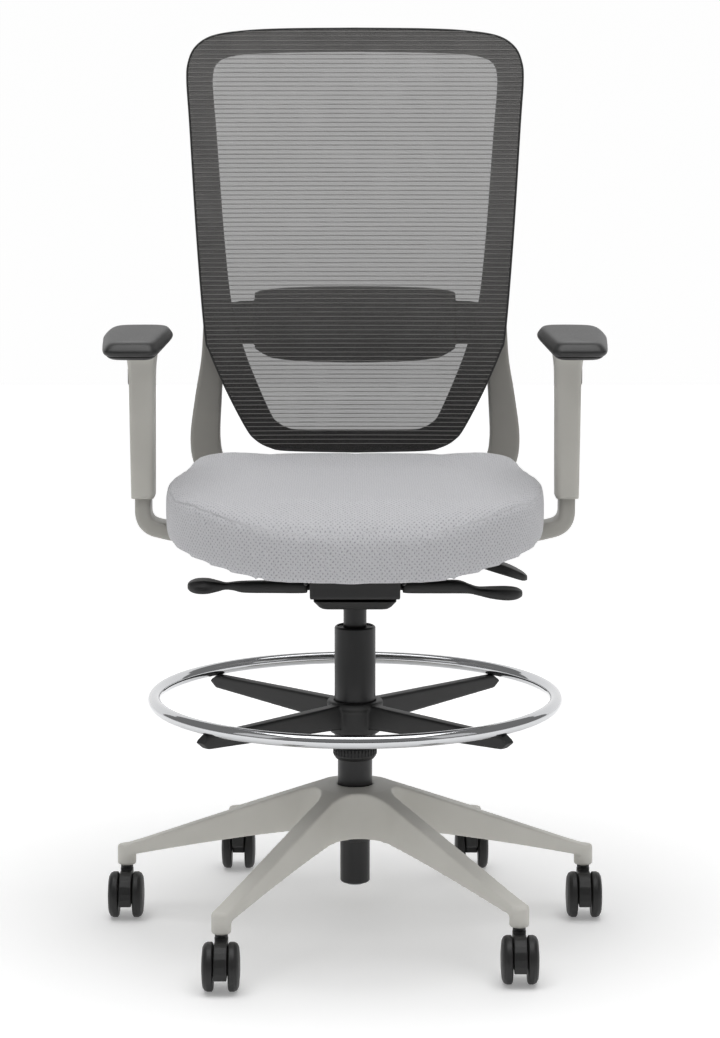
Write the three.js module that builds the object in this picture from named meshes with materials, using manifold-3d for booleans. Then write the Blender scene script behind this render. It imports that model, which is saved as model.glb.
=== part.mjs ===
// A drafting chair: a six-leg base on twin-wheel casters, a gas column with a height-adjustable foot ring,
// a synchronous tilt mechanism with three levers, an upholstered seat on slide rails, two height-adjustable
// armrests, and a mesh back with a sliding lumbar pad, carried by a yoke.
// Millimetres, +Z up. The origin is on the floor under the column's axis, and the sitter faces -Y.
import * as THREE from "three";
import { mergeVertices } from "three/addons/utils/BufferGeometryUtils.js";
import Module from "manifold-3d";

const wasm = await Module();
wasm.setup();

// ---------------------------------------------------------------- driving dimensions
const GAP = 0.3; // left between pieces that touch
const ROUND = 24; // sides of a turned piece

// base and casters
const LEG_ANGLES = {
  front_right: 41, right: 101, rear_right: 148, rear_left: 212, left: 259, front_left: 328,
};
const CASTER_CIRCLE = 330; // radius from the column to the caster stems
const LEG_HALF_WIDTH = 12.5;
const HUB_WALL = 56; // radius of the hub's wall between two legs
const HUB_TOP = 204;
const HUB_BOTTOM = 137;
const WHEEL_RADIUS = 32.5;
const SOCKET_BOTTOM = 2 * WHEEL_RADIUS + 5.5; // clear of the turning wheels
const LEG_END_TOP = SOCKET_BOTTOM + 29;
const LEG_END_DEPTH = 15;
const SOCKET_RADIUS = 13.3;
const STEM_RADIUS = 5.5;
const STEM_LENGTH_IN_SOCKET = 22;
const NECK_RADIUS = 9.3;
const WHEEL_SIDES = 20;
const WHEEL_INNER_FACE = NECK_RADIUS + GAP; // from the caster's middle
const WHEEL_WIDTH = 15.4;
const AXLE_END = 20;
const CASTER_TRAIL = 22; // from the stem's axis to the wheels' axle
const AXLE_RADIUS = 4;
const BODY_HALF_WIDTH = NECK_RADIUS - 0.6;

// column
const TUBE_RADIUS = 24;
const TUBE_FOOT_RADIUS = TUBE_RADIUS - 3.3;
const TUBE_BOTTOM = 63;
const TUBE_TOP = 425;
const TUBE_WALL = 2.5;
const TUBE_FLOOR = 5;
const BUSH_DEPTH = 45;
const SPRING_RADIUS = 16; // the moving gas spring
const SPRING_BOTTOM = 150;
const ROD_RADIUS = 5;
const ROD_TOP = 380;
const COLLAR_RADIUS = TUBE_FOOT_RADIUS + 6.3;
const COLLAR_HEIGHT = 12;

// foot ring
const RING_RADIUS = 278;
const RING_TUBE = 9;
const RING_HEIGHT = 326;
const RING_HUB_RADIUS = TUBE_RADIUS + 15;
const RING_HUB_TOP = 323;
const RING_HUB_DEPTH = 46;
const SPOKE_ANGLES = [45, 135, 225, 315];
const SPOKE_REACH = RING_RADIUS + 12;
const SPOKE_WIDTH = 19;
const SPOKE_HUB_DEPTH = 34;
const SPOKE_END_DEPTH = 18;
const SLEEVE_RADIUS = TUBE_RADIUS + 4.7;
const SLEEVE_TOP = 427;
const SLEEVE_BOTTOM = 257;
const LOCK_RING_RADIUS = SLEEVE_RADIUS + 1.8;
const LOCK_RING_BOTTOM = 240;

// tilt mechanism
const HOUSING_HALF_WIDTH = 61;
const HOUSING_FRONT = -110;
const HOUSING_REAR = 95;
const HOUSING_BOTTOM = 483;
const HOUSING_FRONT_TOP = 521;
const HOUSING_REAR_TOP = 495;
const TRAY_DEPTH = 17;
const SEAT_PIVOT = { y: -92, z: 508, radius: 4 };
const BACK_PIVOT = { y: 62, z: 489, radius: 5 };
const LEVER_HEIGHT = 492;
const LEVER_Y = -60;
const LEVER_TIP = 228; // from the middle to a lever's tip
const LEVER_PIVOT = 56;

// seat
const PLATE_HALF_WIDTH = 135;
const PLATE_FRONT = -104;
const PLATE_REAR = 112;
const PLATE_BOTTOM = 531;
const PLATE_THICKNESS = 9;
const RAIL_HALF_SPACING = 70;
const PAN_BOTTOM = 564;
const PAN_THICKNESS = 7;
const SEAT_HALF_WIDTH = 257;
const SEAT_FRONT = -265;
const SEAT_WIDEST_Y = -20;
const SEAT_BOW = 2.4; // how square the front is: 2 is an ellipse
const SEAT_REAR = 222;
const SEAT_REAR_HALF_WIDTH = 234;
const SEAT_CORNER = 58;
const SEAT_TOP = 627;
const SEAT_REAR_RISE = 17;
const SEAT_SIDE_RISE = 11;
const SEAT_FRONT_DROP = 34;
const SEAT_APRON = 528; // lowest edge of the cushion, at its front
const SEAT_SKIRT = 556; // lowest edge at its sides, ahead of the arms

// arms
const ARM_X = 291.7;
const ARM_Y = 20;
const POST_WIDTH = 22;
const POST_DEPTH = 50;
const POST_TOP = 745;
const ARM_BAR_INNER = 98;
// Height of the middle of an arm's bar, which lies on the seat plate.
const ARM_BAR_HEIGHT = PLATE_BOTTOM + PLATE_THICKNESS + GAP + POST_WIDTH / 2;
const SLEEVE_FOOT = 608;
const PAD_BASE_BOTTOM = 807.5;
const PAD_BASE_THICKNESS = 4.5;
const PAD_THICKNESS = 21;
const PAD_FRONT = -142;
const PAD_REAR = 106;
const ARM_SLEEVE_FOOT_WIDTH = 31.5;
const ARM_SLEEVE_TOP_WIDTH = 34.5;
const ARM_SLEEVE_FLARE_WIDTH = 41.5;
const ARM_SLEEVE_DEPTH = 59;

// back
const BACK_TOP = 1245;
const BACK_BOTTOM = 637;
const BACK_WAIST = 820; // height of the lumbar curve's furthest point
const BACK_WAIST_Y = 216;
const BACK_LEAN = 46; // how far the top stands behind the waist
const BACK_KICK = 20; // how far the bottom stands behind the waist
const BACK_WRAP = 12; // how far the sides come forward
const BACK_HALF_WIDTH = 240.5;
const FRAME_DEPTH = 22;
const MESH_THICKNESS = 1.6;
const MESH_GAP = 0.9; // between the mesh and the frame that it is stretched over
const BACK_STEP = 60; // longest straight step along the back's outline
const LUMBAR_CLEAR = 4; // between the mesh and the lumbar pad
const LUMBAR_SLACK = 1.7; // between the frame and the wings, for the slide over the curve
const WING_THICKNESS = 5;
const WING_REACH = 184; // from the middle to a wing's end

// ---------------------------------------------------------------- materials
function matter(color, roughness, metalness = 0) {
  return new THREE.MeshStandardMaterial({ color, roughness, metalness });
}
const WARM_GREY = matter(0xa9a7a1, 0.5);
const BLACK_NYLON = matter(0x2a2a2a, 0.45);
const BLACK_STEEL = matter(0x262626, 0.4, 0.3);
const ARM_PAD_BLACK = matter(0x4b4b4b, 0.6);
const BRIGHT_STEEL = matter(0xc8c8c8, 0.25, 1);
const CHROME = matter(0xe6e6e6, 0.08, 1);
const SEAT_FABRIC = matter(0xb4b4b7, 0.95);
const BACK_MESH = matter(0x8c8c8b, 0.8);
const FRAME_BLACK = matter(0x323130, 0.55);

// ---------------------------------------------------------------- shape helpers
const V3 = (x, y, z) => new THREE.Vector3(x, y, z);
const V2 = (x, y) => new THREE.Vector2(x, y);
const rad = THREE.MathUtils.degToRad;
const lerp = THREE.MathUtils.lerp;
const clamp01 = (t) => Math.min(1, Math.max(0, t));

// Positions only, shared vertices merged, collapsed faces dropped and the faces turned outwards.
function tidy(geometry) {
  const bare = geometry.clone();
  for (const name of Object.keys(bare.attributes)) if (name !== "position") bare.deleteAttribute(name);
  const merged = mergeVertices(bare, 1e-4);
  const faces = [];
  const index = merged.index.array;
  for (let i = 0; i < index.length; i += 3) {
    const [a, b, c] = [index[i], index[i + 1], index[i + 2]];
    if (a !== b && b !== c && c !== a) faces.push([a, b, c]);
  }
  const corner = (i) => new THREE.Vector3().fromBufferAttribute(merged.attributes.position, i);
  const volume = faces.reduce((sum, [a, b, c]) => sum + corner(a).dot(corner(b).cross(corner(c))), 0);
  merged.setIndex(faces.flatMap(([a, b, c]) => (volume < 0 ? [a, c, b] : [a, b, c])));
  return merged;
}

function solidOf(geometry) {
  const g = tidy(geometry);
  return new wasm.Manifold(
    new wasm.Mesh({
      numProp: 3,
      vertProperties: new Float32Array(g.attributes.position.array),
      triVerts: new Uint32Array(g.index.array),
    }),
  );
}

function geometryOf(solid) {
  const made = solid.getMesh();
  return new THREE.BufferGeometry()
    .setAttribute("position", new THREE.BufferAttribute(new Float32Array(made.vertProperties), 3))
    .setIndex(new THREE.BufferAttribute(new Uint32Array(made.triVerts), 1));
}

const join = (...shapes) => geometryOf(shapes.map(solidOf).reduce((a, b) => a.add(b)));
const cut = (shape, ...tools) =>
  geometryOf(tools.map(solidOf).reduce((a, b) => a.subtract(b), solidOf(shape)));
const common = (a, b) => geometryOf(solidOf(a).intersect(solidOf(b)));

// A closed skin over loops of points: capped at both ends, or joined end to start when ring is true.
function loft(loops, ring = false) {
  const count = loops[0].length;
  const points = loops.flat();
  const faces = [];
  const spans = ring ? loops.length : loops.length - 1;
  for (let i = 0; i < spans; i++) {
    const a = i * count;
    const b = ((i + 1) % loops.length) * count;
    for (let j = 0; j < count; j++) {
      const k = (j + 1) % count;
      faces.push(a + j, a + k, b + k, a + j, b + k, b + j);
    }
  }
  if (!ring) {
    for (const [start, turn] of [[0, -1], [(loops.length - 1) * count, 1]]) {
      const middle = V3(0, 0, 0);
      for (let j = 0; j < count; j++) middle.addScaledVector(points[start + j], 1 / count);
      points.push(middle);
      for (let j = 0; j < count; j++) {
        const k = (j + 1) % count;
        const [p, q] = turn > 0 ? [j, k] : [k, j];
        faces.push(points.length - 1, start + p, start + q);
      }
    }
  }
  return tidy(
    new THREE.BufferGeometry()
      .setAttribute("position", new THREE.Float32BufferAttribute(points.flatMap((p) => [p.x, p.y, p.z]), 3))
      .setIndex(faces),
  );
}

// A turned piece on the Z axis from [radius, height] points.
function turned(profile, sides = ROUND) {
  const lathe = new THREE.LatheGeometry(profile.map(([r, z]) => V2(r, z)), sides);
  return tidy(lathe.rotateX(Math.PI / 2));
}

// A turned tube between two heights.
const tube = (outer, inner, bottom, top) =>
  turned([[inner, bottom], [outer, bottom], [outer, top], [inner, top], [inner, bottom]]);

// A solid cylinder between two heights.
const rod = (radius, bottom, top, sides = ROUND) =>
  turned([[0, bottom], [radius, bottom], [radius, top], [0, top]], sides);

// A solid cylinder along X.
const crossRod = (radius, x0, x1, y, z, sides = 16) =>
  rod(radius, x0, x1, sides).rotateY(Math.PI / 2).translate(0, y, z);

function block(x0, x1, y0, y1, z0, z1) {
  const box = new THREE.BoxGeometry(x1 - x0, y1 - y0, z1 - z0);
  return box.translate((x0 + x1) / 2, (y0 + y1) / 2, (z0 + z1) / 2);
}

// A rectangle with round corners, as points round its middle.
function roundedRectangle(width, height, radius, steps = 3) {
  const points = [];
  const [w, h] = [width / 2 - radius, height / 2 - radius];
  for (const [cx, cy, start] of [[w, h, 0], [-w, h, 90], [-w, -h, 180], [w, -h, 270]]) {
    for (let i = 0; i <= steps; i++) {
      const a = rad(start + (90 * i) / steps);
      points.push(V2(cx + radius * Math.cos(a), cy + radius * Math.sin(a)));
    }
  }
  return points;
}

// A plate from a Shape, standing from z0 to z1.
const plate = (shape, z0, z1, curveSegments = 12) =>
  new THREE.ExtrudeGeometry(shape, { depth: z1 - z0, bevelEnabled: false, curveSegments })
    .translate(0, 0, z0);

function arc(cx, cy, radius, from, to, steps) {
  const points = [];
  for (let i = 0; i <= steps; i++) {
    const a = lerp(from, to, i / steps);
    points.push(V2(cx + radius * Math.cos(a), cy + radius * Math.sin(a)));
  }
  return points;
}

function named(name, geometry, material, parent) {
  const mesh = new THREE.Mesh(tidy(geometry), material);
  mesh.name = name;
  parent.add(mesh);
  return mesh;
}

const chair = new THREE.Group();
const groupIn = (parent) => {
  const group = new THREE.Group();
  parent.add(group);
  return group;
};

// ---------------------------------------------------------------- base
// The direction of a leg, as an angle from +X in the plan.
const legAngle = (degrees) => rad(degrees - 90);

// The radius of the hollow between two legs, so that its arc touches both legs and the hub's wall.
function legFillet(between) {
  const s = Math.sin(between / 2);
  return (HUB_WALL - LEG_HALF_WIDTH / s) / (1 / s - 1);
}

function starPlan() {
  const legs = Object.values(LEG_ANGLES).map(legAngle).sort((a, b) => a - b);
  const points = [];
  legs.forEach((a, i) => {
    const next = i + 1 < legs.length ? legs[i + 1] : legs[0] + 2 * Math.PI;
    const end = V2(Math.cos(a), Math.sin(a)).multiplyScalar(CASTER_CIRCLE);
    points.push(...arc(end.x, end.y, LEG_HALF_WIDTH, a - Math.PI / 2, a + Math.PI / 2, 6));
    const fillet = legFillet(next - a);
    const middle = (a + next) / 2;
    const out = (LEG_HALF_WIDTH + fillet) / Math.sin((next - a) / 2);
    const centre = V2(Math.cos(middle), Math.sin(middle)).multiplyScalar(out);
    points.push(...arc(centre.x, centre.y, fillet, a + 1.5 * Math.PI, next + Math.PI / 2, 5));
  });
  return new THREE.Shape(points);
}

// Height of a leg's upper edge at a radius, falling straight from the hub to the caster.
const alongLeg = (r) => clamp01((r - HUB_WALL) / (CASTER_CIRCLE - HUB_WALL));
const legTop = (r) => lerp(HUB_TOP - 2, LEG_END_TOP, alongLeg(r));
const legBottom = (r) => lerp(HUB_BOTTOM, LEG_END_TOP - LEG_END_DEPTH, alongLeg(r) ** 1.2);

function starSection() {
  const inner = TUBE_FOOT_RADIUS / 2;
  const radii = [HUB_WALL, 130, 220, CASTER_CIRCLE + 2 * SOCKET_RADIUS];
  const upper = radii.map((r) => [r, legTop(r)]);
  const lower = radii.map((r) => [r, legBottom(r)]).reverse();
  const rim = [TUBE_RADIUS + 14, HUB_TOP];
  return turned([[inner, HUB_TOP], rim, ...upper, ...lower, [inner, HUB_BOTTOM], [inner, HUB_TOP]], 24);
}

const tubeTaper = (offset) => [
  [TUBE_FOOT_RADIUS + offset, HUB_BOTTOM - 6],
  [TUBE_RADIUS + offset, HUB_TOP - 4],
];

function stemPlace(name) {
  const a = legAngle(LEG_ANGLES[name]);
  return V3(CASTER_CIRCLE * Math.cos(a), CASTER_CIRCLE * Math.sin(a), 0);
}

function baseStar() {
  const bore = turned([
    [0, 0], [TUBE_FOOT_RADIUS + GAP, 0], ...tubeTaper(GAP), [TUBE_RADIUS + GAP, 300], [0, 300],
  ]);
  const places = Object.keys(LEG_ANGLES).map(stemPlace);
  const socket = () => rod(SOCKET_RADIUS, SOCKET_BOTTOM, LEG_END_TOP - 3, 16);
  const sockets = places.map((p) => socket().translate(p.x, p.y, 0));
  const stemHoles = places.map((p) =>
    rod(STEM_RADIUS + 2 * GAP, 0, SOCKET_BOTTOM + STEM_LENGTH_IN_SOCKET + GAP, 12).translate(p.x, p.y, 0),
  );
  return cut(join(common(plate(starPlan(), 50, 260, 8), starSection()), ...sockets), bore, ...stemHoles);
}

const columnTube = () =>
  turned([
    [ROD_RADIUS + GAP, TUBE_BOTTOM],
    [TUBE_FOOT_RADIUS - 2, TUBE_BOTTOM],
    [TUBE_FOOT_RADIUS, TUBE_BOTTOM + 2],
    ...tubeTaper(0),
    [TUBE_RADIUS, TUBE_TOP],
    [TUBE_RADIUS - TUBE_WALL, TUBE_TOP],
    [TUBE_RADIUS - TUBE_WALL, HUB_TOP],
    [TUBE_FOOT_RADIUS - TUBE_WALL, HUB_BOTTOM - 6],
    [TUBE_FOOT_RADIUS - TUBE_WALL, TUBE_BOTTOM + TUBE_FLOOR],
    [ROD_RADIUS + GAP, TUBE_BOTTOM + TUBE_FLOOR],
    [ROD_RADIUS + GAP, TUBE_BOTTOM],
  ]);

const hubCollar = () => {
  const top = HUB_BOTTOM - GAP;
  const bore = TUBE_FOOT_RADIUS + GAP;
  return turned([
    [bore, top - COLLAR_HEIGHT], [COLLAR_RADIUS - 2.5, top - COLLAR_HEIGHT], [COLLAR_RADIUS, top - 8],
    [COLLAR_RADIUS, top], [bore + 1, top], [bore + 0.4, HUB_BOTTOM - 6], [bore, top - COLLAR_HEIGHT],
  ]);
};

const guideBush = () =>
  turned([
    [SPRING_RADIUS + GAP, TUBE_TOP - BUSH_DEPTH],
    [TUBE_RADIUS - TUBE_WALL - GAP, TUBE_TOP - BUSH_DEPTH],
    [TUBE_RADIUS - TUBE_WALL - GAP, TUBE_TOP - GAP],
    [SPRING_RADIUS + GAP, TUBE_TOP - GAP],
    [SPRING_RADIUS + GAP, TUBE_TOP - BUSH_DEPTH],
  ]);

// The fixed rod of the gas spring, held by a flat head under the tube's floor.
const springRod = () => {
  const seatZ = TUBE_BOTTOM - GAP;
  return turned([
    [0, seatZ - 3], [11, seatZ - 3], [11, seatZ], [ROD_RADIUS, seatZ], [ROD_RADIUS, ROD_TOP], [0, ROD_TOP],
  ], 16);
};

// The moving gas spring: a cylinder that hangs over the fixed rod and ends in the mechanism's cone.
const CONE_TOP = HOUSING_FRONT_TOP - 20;
const springCone = (offset) => [
  [SPRING_RADIUS + offset, HOUSING_BOTTOM - TRAY_DEPTH + 2],
  [SPRING_RADIUS - 2 + offset, CONE_TOP],
];
const gasSpring = () =>
  turned([
    [ROD_RADIUS + GAP, SPRING_BOTTOM],
    [SPRING_RADIUS, SPRING_BOTTOM],
    ...springCone(0),
    [0, CONE_TOP],
    [0, ROD_TOP + 70],
    [ROD_RADIUS + GAP, ROD_TOP + 70],
    [ROD_RADIUS + GAP, SPRING_BOTTOM],
  ]);

const base = groupIn(chair);
named("base_star", baseStar(), WARM_GREY, base);
named("column_tube", columnTube(), BLACK_STEEL, base);
named("hub_collar", hubCollar(), BLACK_NYLON, base);
named("column_guide_bush", guideBush(), BLACK_NYLON, base);
named("gas_spring_rod", springRod(), BRIGHT_STEEL, base);
named("gas_spring", gasSpring(), BLACK_STEEL, chair);

// ---------------------------------------------------------------- casters
// In a caster's own frame the stem stands on Z and the wheels trail towards -Y.
const AXLE_HEIGHT = WHEEL_RADIUS * Math.cos(Math.PI / WHEEL_SIDES); // a flat of the tread lies on the floor
const BODY_TOP = 2 * WHEEL_RADIUS + 1;

function casterWheel(side) {
  const [inner, outer] = [WHEEL_INNER_FACE, WHEEL_INNER_FACE + WHEEL_WIDTH];
  const profile = [
    [0, outer], [25, outer - 1.2], [WHEEL_RADIUS, outer - 6.5], [WHEEL_RADIUS, inner],
    [AXLE_RADIUS + GAP, inner], [AXLE_RADIUS + GAP, AXLE_END + GAP], [0, AXLE_END + GAP],
  ];
  return turned(profile, WHEEL_SIDES)
    .rotateZ(Math.PI / WHEEL_SIDES)
    .rotateY((side * Math.PI) / 2)
    .translate(0, -CASTER_TRAIL, AXLE_HEIGHT);
}

// The moulded body between the wheels: a hood over the trailing side, a boss for the stem and the axle.
function casterBody() {
  const hood = new THREE.Shape([
    ...arc(-CASTER_TRAIL, AXLE_HEIGHT, WHEEL_RADIUS - 0.4, rad(200), rad(95), 6),
    V2(NECK_RADIUS, BODY_TOP - 4), V2(NECK_RADIUS, 40),
    ...arc(-CASTER_TRAIL, AXLE_HEIGHT, 10, rad(0), rad(-90), 3),
  ]);
  const web = plate(hood, -BODY_HALF_WIDTH, BODY_HALF_WIDTH).rotateX(Math.PI / 2).rotateZ(Math.PI / 2);
  const boss = rod(NECK_RADIUS, 42, BODY_TOP, 14);
  const axle = crossRod(AXLE_RADIUS, -AXLE_END, AXLE_END, -CASTER_TRAIL, AXLE_HEIGHT, 10);
  const stemHole = rod(STEM_RADIUS + 2 * GAP, 50, 200, 10);
  return cut(join(web, boss, axle), stemHole);
}

const casterStem = () =>
  turned([
    [0, 50 + GAP], [STEM_RADIUS, 50 + GAP], [STEM_RADIUS, BODY_TOP + GAP],
    [NECK_RADIUS - 0.6, BODY_TOP + GAP],
    [NECK_RADIUS - 0.6, SOCKET_BOTTOM - GAP], [STEM_RADIUS, SOCKET_BOTTOM - GAP],
    [STEM_RADIUS, SOCKET_BOTTOM + STEM_LENGTH_IN_SOCKET], [0, SOCKET_BOTTOM + STEM_LENGTH_IN_SOCKET],
  ], 12);

for (const name of Object.keys(LEG_ANGLES)) {
  const caster = groupIn(chair);
  caster.position.copy(stemPlace(name));
  caster.rotation.z = name.startsWith("rear") ? Math.PI : 0; // the rear wheels trail backwards
  named(`caster_${name}_body`, casterBody(), BLACK_NYLON, caster);
  named(`caster_${name}_stem`, casterStem(), BLACK_STEEL, caster);
  named(`caster_${name}_wheel_a`, casterWheel(1), BLACK_NYLON, caster);
  named(`caster_${name}_wheel_b`, casterWheel(-1), BLACK_NYLON, caster);
}

// ---------------------------------------------------------------- foot ring
const SPOKE_END_TOP = RING_HEIGHT - RING_TUBE - GAP;

// One spoke as a deep bar that narrows to its round end under the ring.
function spoke(degrees) {
  const inner = TUBE_RADIUS + 4;
  const endRadius = SPOKE_END_DEPTH / 2;
  const sideView = new THREE.Shape([
    V2(inner, RING_HUB_TOP - 3 - SPOKE_HUB_DEPTH), V2(SPOKE_REACH - 16, SPOKE_END_TOP - SPOKE_END_DEPTH),
    ...arc(SPOKE_REACH - endRadius, SPOKE_END_TOP - endRadius, endRadius, rad(-90), rad(90), 4),
    V2(SPOKE_REACH - 26, SPOKE_END_TOP), V2(inner, RING_HUB_TOP - 3),
  ]);
  const bar = plate(sideView, -SPOKE_WIDTH / 2, SPOKE_WIDTH / 2).rotateX(Math.PI / 2);
  return bar.rotateZ(rad(degrees));
}

function footRingHub() {
  const bottom = RING_HUB_TOP - RING_HUB_DEPTH;
  const skirt = SLEEVE_RADIUS + 7;
  const boss = turned([
    [0, bottom], [skirt - 2, bottom], [skirt, bottom + 4], [skirt, RING_HUB_TOP - 12],
    [RING_HUB_RADIUS, RING_HUB_TOP - 8], [RING_HUB_RADIUS, RING_HUB_TOP - 2],
    [RING_HUB_RADIUS - 2, RING_HUB_TOP], [0, RING_HUB_TOP],
  ]);
  return cut(join(boss, ...SPOKE_ANGLES.map(spoke)), rod(SLEEVE_RADIUS + GAP, 200, 500));
}

const footRingTube = () =>
  new THREE.TorusGeometry(RING_RADIUS, RING_TUBE, 8, 48).translate(0, 0, RING_HEIGHT);

const SLEEVE_BORE = TUBE_RADIUS + 2 * GAP;
const footRingSleeve = () =>
  turned([
    [SLEEVE_BORE, SLEEVE_BOTTOM], [SLEEVE_RADIUS, SLEEVE_BOTTOM], [SLEEVE_RADIUS, SLEEVE_TOP - 1.5],
    [SLEEVE_RADIUS - 1.5, SLEEVE_TOP], [SLEEVE_BORE, SLEEVE_TOP], [SLEEVE_BORE, SLEEVE_BOTTOM],
  ]);

const footRingLock = () => {
  const top = SLEEVE_BOTTOM - GAP;
  return turned([
    [SLEEVE_BORE, LOCK_RING_BOTTOM], [LOCK_RING_RADIUS - 4, LOCK_RING_BOTTOM],
    [LOCK_RING_RADIUS, LOCK_RING_BOTTOM + 5], [LOCK_RING_RADIUS, top], [SLEEVE_BORE, top],
    [SLEEVE_BORE, LOCK_RING_BOTTOM],
  ]);
};

const footRing = groupIn(chair);
named("foot_ring", footRingTube(), CHROME, footRing);
named("foot_ring_hub", footRingHub(), BLACK_NYLON, footRing);
named("foot_ring_sleeve", footRingSleeve(), BLACK_STEEL, footRing);
named("foot_ring_lock", footRingLock(), BLACK_NYLON, footRing);

// ---------------------------------------------------------------- tilt mechanism
// A section in the Y-Z plane, as wide as x0 to x1.
const sidePlate = (points, x0, x1) =>
  plate(new THREE.Shape(points), x0, x1).rotateX(Math.PI / 2).rotateZ(Math.PI / 2);

const LEVER_SLOT = { below: 5, above: 16, width: 30 };

function housing() {
  const side = [
    V2(HOUSING_FRONT, HOUSING_BOTTOM), V2(BACK_PIVOT.y + 22, HOUSING_BOTTOM - 4),
    V2(HOUSING_REAR, HOUSING_BOTTOM + 4), V2(HOUSING_REAR, HOUSING_REAR_TOP),
    V2(SEAT_PIVOT.y + 18, HOUSING_FRONT_TOP), V2(HOUSING_FRONT, HOUSING_FRONT_TOP),
  ];
  const coneEnd = CONE_TOP + GAP;
  const cone = turned([
    [0, 0], [SPRING_RADIUS + 2, 0], ...springCone(GAP), [SPRING_RADIUS - 2 + GAP, coneEnd], [0, coneEnd],
  ]);
  const [low, high] = [LEVER_HEIGHT - LEVER_SLOT.below, LEVER_HEIGHT + LEVER_SLOT.above];
  const [front, rear] = [LEVER_Y - LEVER_SLOT.width / 2, LEVER_Y + LEVER_SLOT.width / 2];
  const slots = [[-70, -46], [46, 70]].map(([x0, x1]) => block(x0, x1, front, rear, low, high));
  const bores = [SEAT_PIVOT, BACK_PIVOT].map((p) => crossRod(p.radius + GAP, -100, 100, p.y, p.z));
  return cut(sidePlate(side, -HOUSING_HALF_WIDTH, HOUSING_HALF_WIDTH), cone, ...slots, ...bores);
}

// The cover that closes the mechanism from below, with sloping sides.
function housingTray() {
  const top = HOUSING_BOTTOM - 4 - GAP;
  const bottom = HOUSING_BOTTOM - TRAY_DEPTH;
  const loop = (z, halfWidth, front, rear) => roundedRectangle(2 * halfWidth, rear - front, 8, 2)
    .map((p) => V3(p.x, p.y + (front + rear) / 2, z));
  const body = loft([
    loop(bottom, 45, HOUSING_FRONT + 18, 58), loop(bottom + 3, 49, HOUSING_FRONT + 14, 62),
    loop(top, 57, HOUSING_FRONT + 6, 68),
  ]);
  return cut(body, rod(SPRING_RADIUS + 2, 0, 600));
}

const pivotPin = (pivot, halfLength) => crossRod(pivot.radius, -halfLength, halfLength, pivot.y, pivot.z);

// A flat grip lever that points to +X or -X: stations give [x, rise, width along Y, height].
function lever(side, y, z, stations) {
  return loft(stations.map(([x, rise, width, height]) =>
    roundedRectangle(width, height, Math.min(width, height) * 0.45, 1)
      .map((p) => V3(side * x, y + p.x, z + rise + p.y))));
}

const LEVER_ROOT = [[LEVER_PIVOT - 4, 0, 14, 9], [66, 0, 14, 9], [67, 0, 24, 17]];
const heightLever = () => lever(1, LEVER_Y, LEVER_HEIGHT, [
  ...LEVER_ROOT, [140, 0, 24, 17], [156, -3, 20, 12], [168, -6, 26, 10],
  [LEVER_TIP - 42, -8, 38, 13], [LEVER_TIP - 22, -9, 42, 15], [LEVER_TIP - 8, -9, 32, 13],
  [LEVER_TIP, -9, 12, 7],
]);

const tiltLever = () => lever(-1, LEVER_Y, LEVER_HEIGHT, [
  ...LEVER_ROOT, [150, 0, 24, 15], [165, 1, 18, 11], [176, 1, 17, 9], [LEVER_TIP - 42, 1, 26, 13],
  [LEVER_TIP - 28, 1, 38, 18], [LEVER_TIP - 14, 1, 38, 18], [LEVER_TIP - 5, 1, 26, 13], [LEVER_TIP, 1, 12, 7],
]);

const chassis = groupIn(chair);
named("tilt_housing", housing(), BLACK_STEEL, chassis);
named("tilt_housing_cover", housingTray(), BLACK_NYLON, chassis);
named("seat_pivot_pin", pivotPin(SEAT_PIVOT, 71), BRIGHT_STEEL, chassis);
named("back_pivot_pin", pivotPin(BACK_PIVOT, 77), BRIGHT_STEEL, chassis);
named("height_lever", heightLever(), BLACK_NYLON, chassis);
named("tilt_lever", tiltLever(), BLACK_NYLON, chassis);

// ---------------------------------------------------------------- seat
const LUG = { inner: 63, outer: 69 };

// The plate that tilts on the front pivot, with a lug each side of the housing.
function seatPlate() {
  const top = PLATE_BOTTOM + PLATE_THICKNESS;
  const outline = roundedRectangle(2 * PLATE_HALF_WIDTH, PLATE_REAR - PLATE_FRONT, 18, 3);
  const middle = (PLATE_FRONT + PLATE_REAR) / 2;
  const flat = plate(new THREE.Shape(outline), PLATE_BOTTOM, top).translate(0, middle, 0);
  const lug = [
    V2(SEAT_PIVOT.y - 9, PLATE_BOTTOM + 4), V2(SEAT_PIVOT.y - 9, SEAT_PIVOT.z),
    ...arc(SEAT_PIVOT.y, SEAT_PIVOT.z, 9, Math.PI, 2 * Math.PI, 6), V2(SEAT_PIVOT.y + 22, PLATE_BOTTOM + 4),
  ];
  const lugs = [[-LUG.outer, -LUG.inner], [LUG.inner, LUG.outer]].map(([x0, x1]) => sidePlate(lug, x0, x1));
  return cut(join(flat, ...lugs), crossRod(SEAT_PIVOT.radius + GAP, -100, 100, SEAT_PIVOT.y, SEAT_PIVOT.z));
}

function slideRail(side) {
  const [middle, bottom] = [side * RAIL_HALF_SPACING, PLATE_BOTTOM + PLATE_THICKNESS + GAP];
  return block(middle - 14, middle + 14, PLATE_FRONT + 19, PLATE_REAR - 17, bottom, PAN_BOTTOM - GAP);
}

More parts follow.
